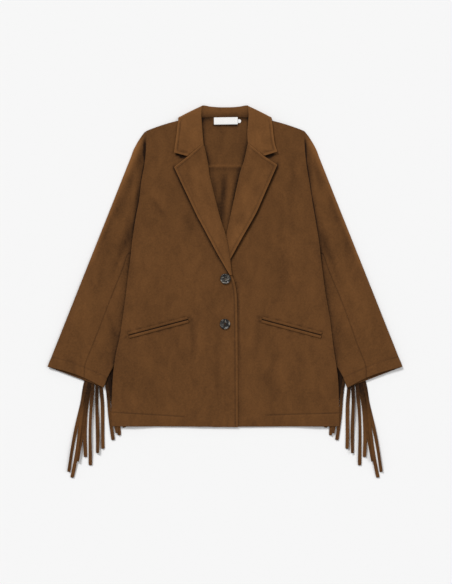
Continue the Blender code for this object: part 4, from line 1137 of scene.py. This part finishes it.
def strandGrid(index):
    cuffX, cuffY, midX, midY, endX, endY, twist, curl = fringeLook["strands"][index]
    root = stripStart + stripRun * (index + 0.5) / len(fringeLook["strands"])
    second = root + stripIn * 9.0 + (np.array([cuffX, cuffY]) - root) * 0.3
    way = curve([root + stripIn * 3.0, second, (cuffX, cuffY), (midX, midY), (endX, endY)], 12)
    line = along(way, np.linspace(0, 1, fringeLook["rings"]))
    base = fringeLook["levels"][index % 3] + fringeLook["thick"] / 2
    half = fringeLook["width"] / 2
    rows = []
    for k, (place, ahead) in enumerate(zip(line, unit(np.gradient(line, axis=0)))):
        share = k / (fringeLook["rings"] - 1)
        free = float(ease(92 - place[1], 0, 40))  # held flat as far down as the cuff
        turn = math.radians(twist) * free * math.sin(1.2 + share * 4.2 + index)
        sway = curl * free * math.sin(share * 7.0 + index * 1.7)
        aside = np.array([-ahead[1], ahead[0]])
        lift = half * abs(math.sin(turn)) + 0.6 * free * abs(math.sin(share * 9 + index))
        row = []
        for across in (1.0, 0.55, 0.0, -0.55, -1.0):
            cup = 0.5 * free * across * across
            spot = place + aside * (half * across * math.cos(turn) + sway)
            row.append([*spot, base + lift + half * across * math.sin(turn) + cup])
        rows.append(row)
    return np.array(rows)


def buildFringe(side):
    name = "fringe_" + hands[side]
    strip = [[[*(stripStart + stripRun * s + stripIn * w), fringeLook["stripMiddle"]]
              for w in np.array([-1, 0, 1]) * fringeLook["stripHalf"]] for s in np.linspace(0, 1, 30)]
    strip = flipped(side, np.array(strip) * (-side, 1, 1))[0]
    parts = [shell(name + "_strip", strip, fringeLook["stripThick"], outerSuede, levels=0)[0]]
    for index in range(len(fringeLook["strands"])):
        grid = flipped(side, strandGrid(index) * (-side, 1, 1))[0]
        shaded = 1.25 if index > 7 else 0.65  # under the cuff and beside the body
        shadeAndNap = 0.14 * np.sin(index * 2.3) - 0.12 - shaded * ease(grid[..., 1], 15, 96)
        parts.append(shell(f"{name}_strand{index}", grid, fringeLook["thick"], outerSuede, shadeAndNap)[0])
    pick(*parts)
    bpy.ops.object.join()
    parts[0].name = name + "_piece"
    parts[0].select_set(False)
    dress(parts[0], name)


for side in hands:
    buildFringe(side)
print("fringe made")


# Pocket welts: two rounded rolls beside each slanted slit

def buildPocket(side):
    hand = hands[side]
    start = np.array(pocketLook["sideEnd"])
    run = np.array(pocketLook["frontEnd"]) - start
    up = unit(run)[::-1] * (-1, 1)
    shares = stops(np.linalg.norm(run), [0, 0.8, 3.0], [0, 0.8, 3.0], 30)
    for label, sign, dark in (("upper", 1, 0.16), ("lower", -1, 0.04)):
        plan = np.array([start + run * shares[:, None] + up * sign * (pocketLook["slit"] + out)
                         for out, rise in pocketLook["section"]]) * (-side, 1)
        rise = np.array(pocketLook["section"])[:, 1:]
        height = frontHeight(side, plan[..., 0], plan[..., 1]) + cloth["single"] / 2 + 0.2 + rise
        grid = flipped(sign * side, np.dstack([plan, height]))[0]
        # the upper welt darker, with a painted highlight along each roll's crest
        shadeAndNap = np.zeros(height.shape) - dark + 0.14 * bell(rise, 1.86, 0.3)
        name = f"welt_{label}_{hand}"
        dress(shell(name, grid, pocketLook["thick"], outerSuede, shadeAndNap)[0], name)
    lip = cloth["single"] / 2 + 0.25
    # a near-black strip in the slit: painted shadow in the pocket's mouth
    mouth = np.array([start + run * shares[:, None] + up * out for out in (-1.8, -0.6, 0.6, 1.8)])
    mouth = flipped(side, mouth * (-side, 1))[0]
    grid = np.dstack([mouth, frontHeight(side, mouth[..., 0], mouth[..., 1]) + lip])
    dark = np.full(grid.shape[:2], -1.0)
    slitShadow = dress(shell(f"pocket_mouth_{hand}", grid, 0.4, outerSuede, dark)[0])
    bars = []
    for at in (-0.008, 1.008):
        line = [(start + run * at + up * out) * (-side, 1) for out in np.linspace(-6.6, 6.6, 9)]
        bars.append([(*place, float(frontHeight(side, *place)) + lip + 0.25) for place in line])
    threads = stitchRun(f"pocket_bars_{hand}", bars)


for side in hands:
    buildPocket(side)
print("pockets made")


# Buttons: turned horn-look discs with a rolled rim and four holes, sewn with thread

buttonLook = {
    "button_upper": {"centre": (1.0, 340.0), "grainTurn": 0.15},
    "button_lower": {"centre": (0.0, 236.0), "grainTurn": 1.45},
    "profile": [
        (7.0, 0.0), (10.4, 0.3), (11.8, 1.2), (12.0, 2.2), (11.6, 3.1), (10.8, 3.6), (9.9, 3.55),
        (9.1, 3.1), (8.1, 2.75), (4.6, 2.5)],
    "seatRadius": 9.5, "seatGap": 0.35, "sides": 48, "holeOut": 2.5, "holeRadius": 1.05,
    "threadApart": 0.35, "threadRadius": 0.34,
    # share along the hole's offset, height over the seat
    "loop": [(-1, 1.2), (-0.8, 2.9), (0, 3.1), (0.8, 2.9), (1, 1.2)],
    "ramp": [(0.42, (0.003, 0.003, 0.003, 1)), (0.50, (0.010, 0.0095, 0.009, 1)),
             (0.57, (0.12, 0.108, 0.090, 1)), (0.66, (0.46, 0.42, 0.35, 1))],
}


def hornMaterial(name, centre, turn):
    made, tree, place = newMaterial(name)
    grain = addNode(tree, "Mapping", {
        "Vector": place, "Location": (centre[0] * mm, (centre[1] + hemShift) * mm, 0),
        "Rotation": (0, 0, turn), "Scale": (2.6, 1.0, 1.0)}, vector_type="TEXTURE").outputs[0]
    streak = noiseNode(tree, grain, 330.0, 4.0, 0.6, 0.7)
    fine = noiseNode(tree, grain, 1400.0, 3.0, 0.6, 0.3)
    ramp = addNode(tree, "ValToRGB", {"Fac": streak})
    marks = ramp.color_ramp.elements
    for mark, (position, colour) in zip(marks, (buttonLook["ramp"][0], buttonLook["ramp"][-1])):
        mark.position, mark.color = position, colour
    for position, colour in buttonLook["ramp"][1:-1]:
        marks.new(position).color = colour
    soft = mathNode(tree, "MULTIPLY", fine, 0.6)
    rough = mathNode(tree, "ADD", mathNode(tree, "MULTIPLY", fine, 0.2), 0.22)
    setShader(tree, {
        "Base Color": mixColour(tree, soft, ramp.outputs["Color"], (0.006, 0.0055, 0.005, 1)),
        "Roughness": rough, "Specular IOR Level": 0.35, "Coat Weight": 0.12, "Coat Roughness": 0.12})
    return made


def buildButton(name):
    own = buttonLook[name]
    x, y = own["centre"]
    ring = np.linspace(0, 2 * math.pi, 13)
    reach = buttonLook["seatRadius"]
    seat = frontHeight(-1, x + reach * np.cos(ring), y + reach * np.sin(ring)).max()
    seat = float(seat) + cloth["single"] / 2 + buttonLook["seatGap"]
    # a filled circle drawn up ring by ring along the turned profile
    line = curve(buttonLook["profile"], 2)
    middle = [x * mm, (y + hemShift) * mm, seat * mm]
    bpy.ops.object.select_all(action="DESELECT")
    bpy.ops.mesh.primitive_circle_add(vertices=buttonLook["sides"], radius=line[0][0] * mm,
                                      fill_type="TRIFAN", location=middle)
    obj = bpy.context.object
    obj.name = name + "_disc"
    obj.data.materials.append(hornMaterial(name + "_horn", own["centre"], own["grainTurn"]))
    bpy.ops.object.mode_set(mode="EDIT")
    bpy.ops.mesh.select_all(action="SELECT")
    for (oldRadius, oldHeight), (radius, height) in zip(line[:-1], line[1:]):
        up = (0, 0, (height - oldHeight) * mm)
        bpy.ops.mesh.extrude_region_move(TRANSFORM_OT_translate={"value": up})
        wider = radius / oldRadius
        bpy.ops.transform.resize(value=(wider, wider, 1), center_override=middle)
    bpy.ops.mesh.select_all(action="SELECT")
    bpy.ops.mesh.normals_make_consistent(inside=False)
    bpy.ops.object.mode_set(mode="OBJECT")
    bpy.ops.object.transform_apply(location=True, rotation=True, scale=True)
    holes = []
    for angle in np.radians([45, 135, 225, 315]):
        out = np.array([math.cos(angle), math.sin(angle), 0]) * buttonLook["holeOut"] * mm
        bpy.ops.mesh.primitive_cylinder_add(vertices=16, radius=buttonLook["holeRadius"] * mm,
                                            depth=0.02, location=np.array(middle) + out)
        holes.append(bpy.context.object)
    pick(obj)
    for hole in holes:
        cut = obj.modifiers.new("hole", "BOOLEAN")
        cut.operation = "DIFFERENCE"
        cut.solver = "EXACT"
        cut.object = hole
        bpy.ops.object.modifier_apply(modifier=cut.name)
        bpy.data.objects.remove(hole, do_unlink=True)
    bpy.ops.object.shade_smooth_by_angle(angle=math.radians(38))
    obj.select_set(False)
    dress(obj, name)
    buildThreadLoops(name + "_thread", x, y, seat)


def buildThreadLoops(name, x, y, seat):
    made = bpy.data.curves.new(name, "CURVE")
    made.dimensions = "3D"
    made.bevel_depth = buttonLook["threadRadius"] * mm
    made.bevel_resolution = 2
    made.use_fill_caps = True
    d = buttonLook["holeOut"] * math.sqrt(0.5)
    for sy in (-1, 1):
        for shift in (-1, 1):
            rowY = y + hemShift + sy * d + shift * buttonLook["threadApart"]
            dense = curve([(x + d * share, rowY, seat + up) for share, up in buttonLook["loop"]], 5)
            spline = made.splines.new("POLY")
            spline.points.add(len(dense) - 1)
            for point, place in zip(spline.points, dense):
                point.co = (*(place * mm), 1)
    obj = addObject(name, made, threadMaterial)
    pick(obj)
    bpy.ops.object.convert(target="MESH")
    bpy.ops.object.shade_smooth()
    obj.select_set(False)
    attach(obj, "root")


buildButton("button_upper")
buildButton("button_lower")
print("buttons made")


# Label and its small tab, both left blank

labelLook = {
    "centre": (2.0, 702.6), "size": (55.0, 16.6), "turn": math.radians(0.8), "thick": 0.7,
    "tab": (8.0, 4.2), "tabTaper": 3.0, "tabGap": 0.3, "tabDrop": 1.0,
}


def labelMaterial():
    made, tree, place = newMaterial("wovenLabel")
    weave = addNode(tree, "TexWave", {"Vector": place, "Scale": 900.0, "Distortion": 0.4}).outputs["Fac"]
    colour = mixColour(tree, weave, (0.80, 0.79, 0.77, 1), (0.88, 0.875, 0.86, 1))
    bump = bumpNode(tree, weave, 0.3, 0.0002)
    setShader(tree, {"Base Color": colour, "Roughness": 0.55, "Normal": bump})
    return made


def buildLabel():
    woven = labelMaterial()
    turn, centre = labelLook["turn"], np.array(labelLook["centre"])
    turned = np.array([[math.cos(turn), math.sin(turn)], [-math.sin(turn), math.cos(turn)]])
    length, depth = labelLook["size"]
    u = np.linspace(-0.5, 0.5, 25) * length
    v = np.array([-0.5, -0.44, -0.25, 0, 0.25, 0.44, 0.5]) * depth
    plan = np.array([[(a, b) for a in u] for b in v]) @ turned + centre
    rise = cloth["single"] / 2 + 0.85 + 0.5 * bell(plan[..., 1], centre[1] - 4, 5)
    grid = np.dstack([plan, backHeight(plan[..., 0], plan[..., 1]) + rise])
    sheet = dress(shell("label", grid, labelLook["thick"], woven)[0], "label")
    tabLength, tabHalf = labelLook["tab"]
    rows = []
    for b in (-1, -0.9, -0.5, 0, 0.5, 0.9, 1):
        reach = tabLength - labelLook["tabTaper"] * abs(b)
        rows.append([(length / 2 + labelLook["tabGap"] + a * reach, b * tabHalf - labelLook["tabDrop"])
                     for a in (0, 0.1, 0.5, 0.9, 1)])
    plan = np.array(rows) @ turned + centre
    grid = np.dstack([plan, backHeight(plan[..., 0], plan[..., 1]) + cloth["single"] / 2 + 0.8])
    tab = dress(shell("size_tab", grid, labelLook["thick"], woven)[0], "size_tab")


buildLabel()
print("label made")
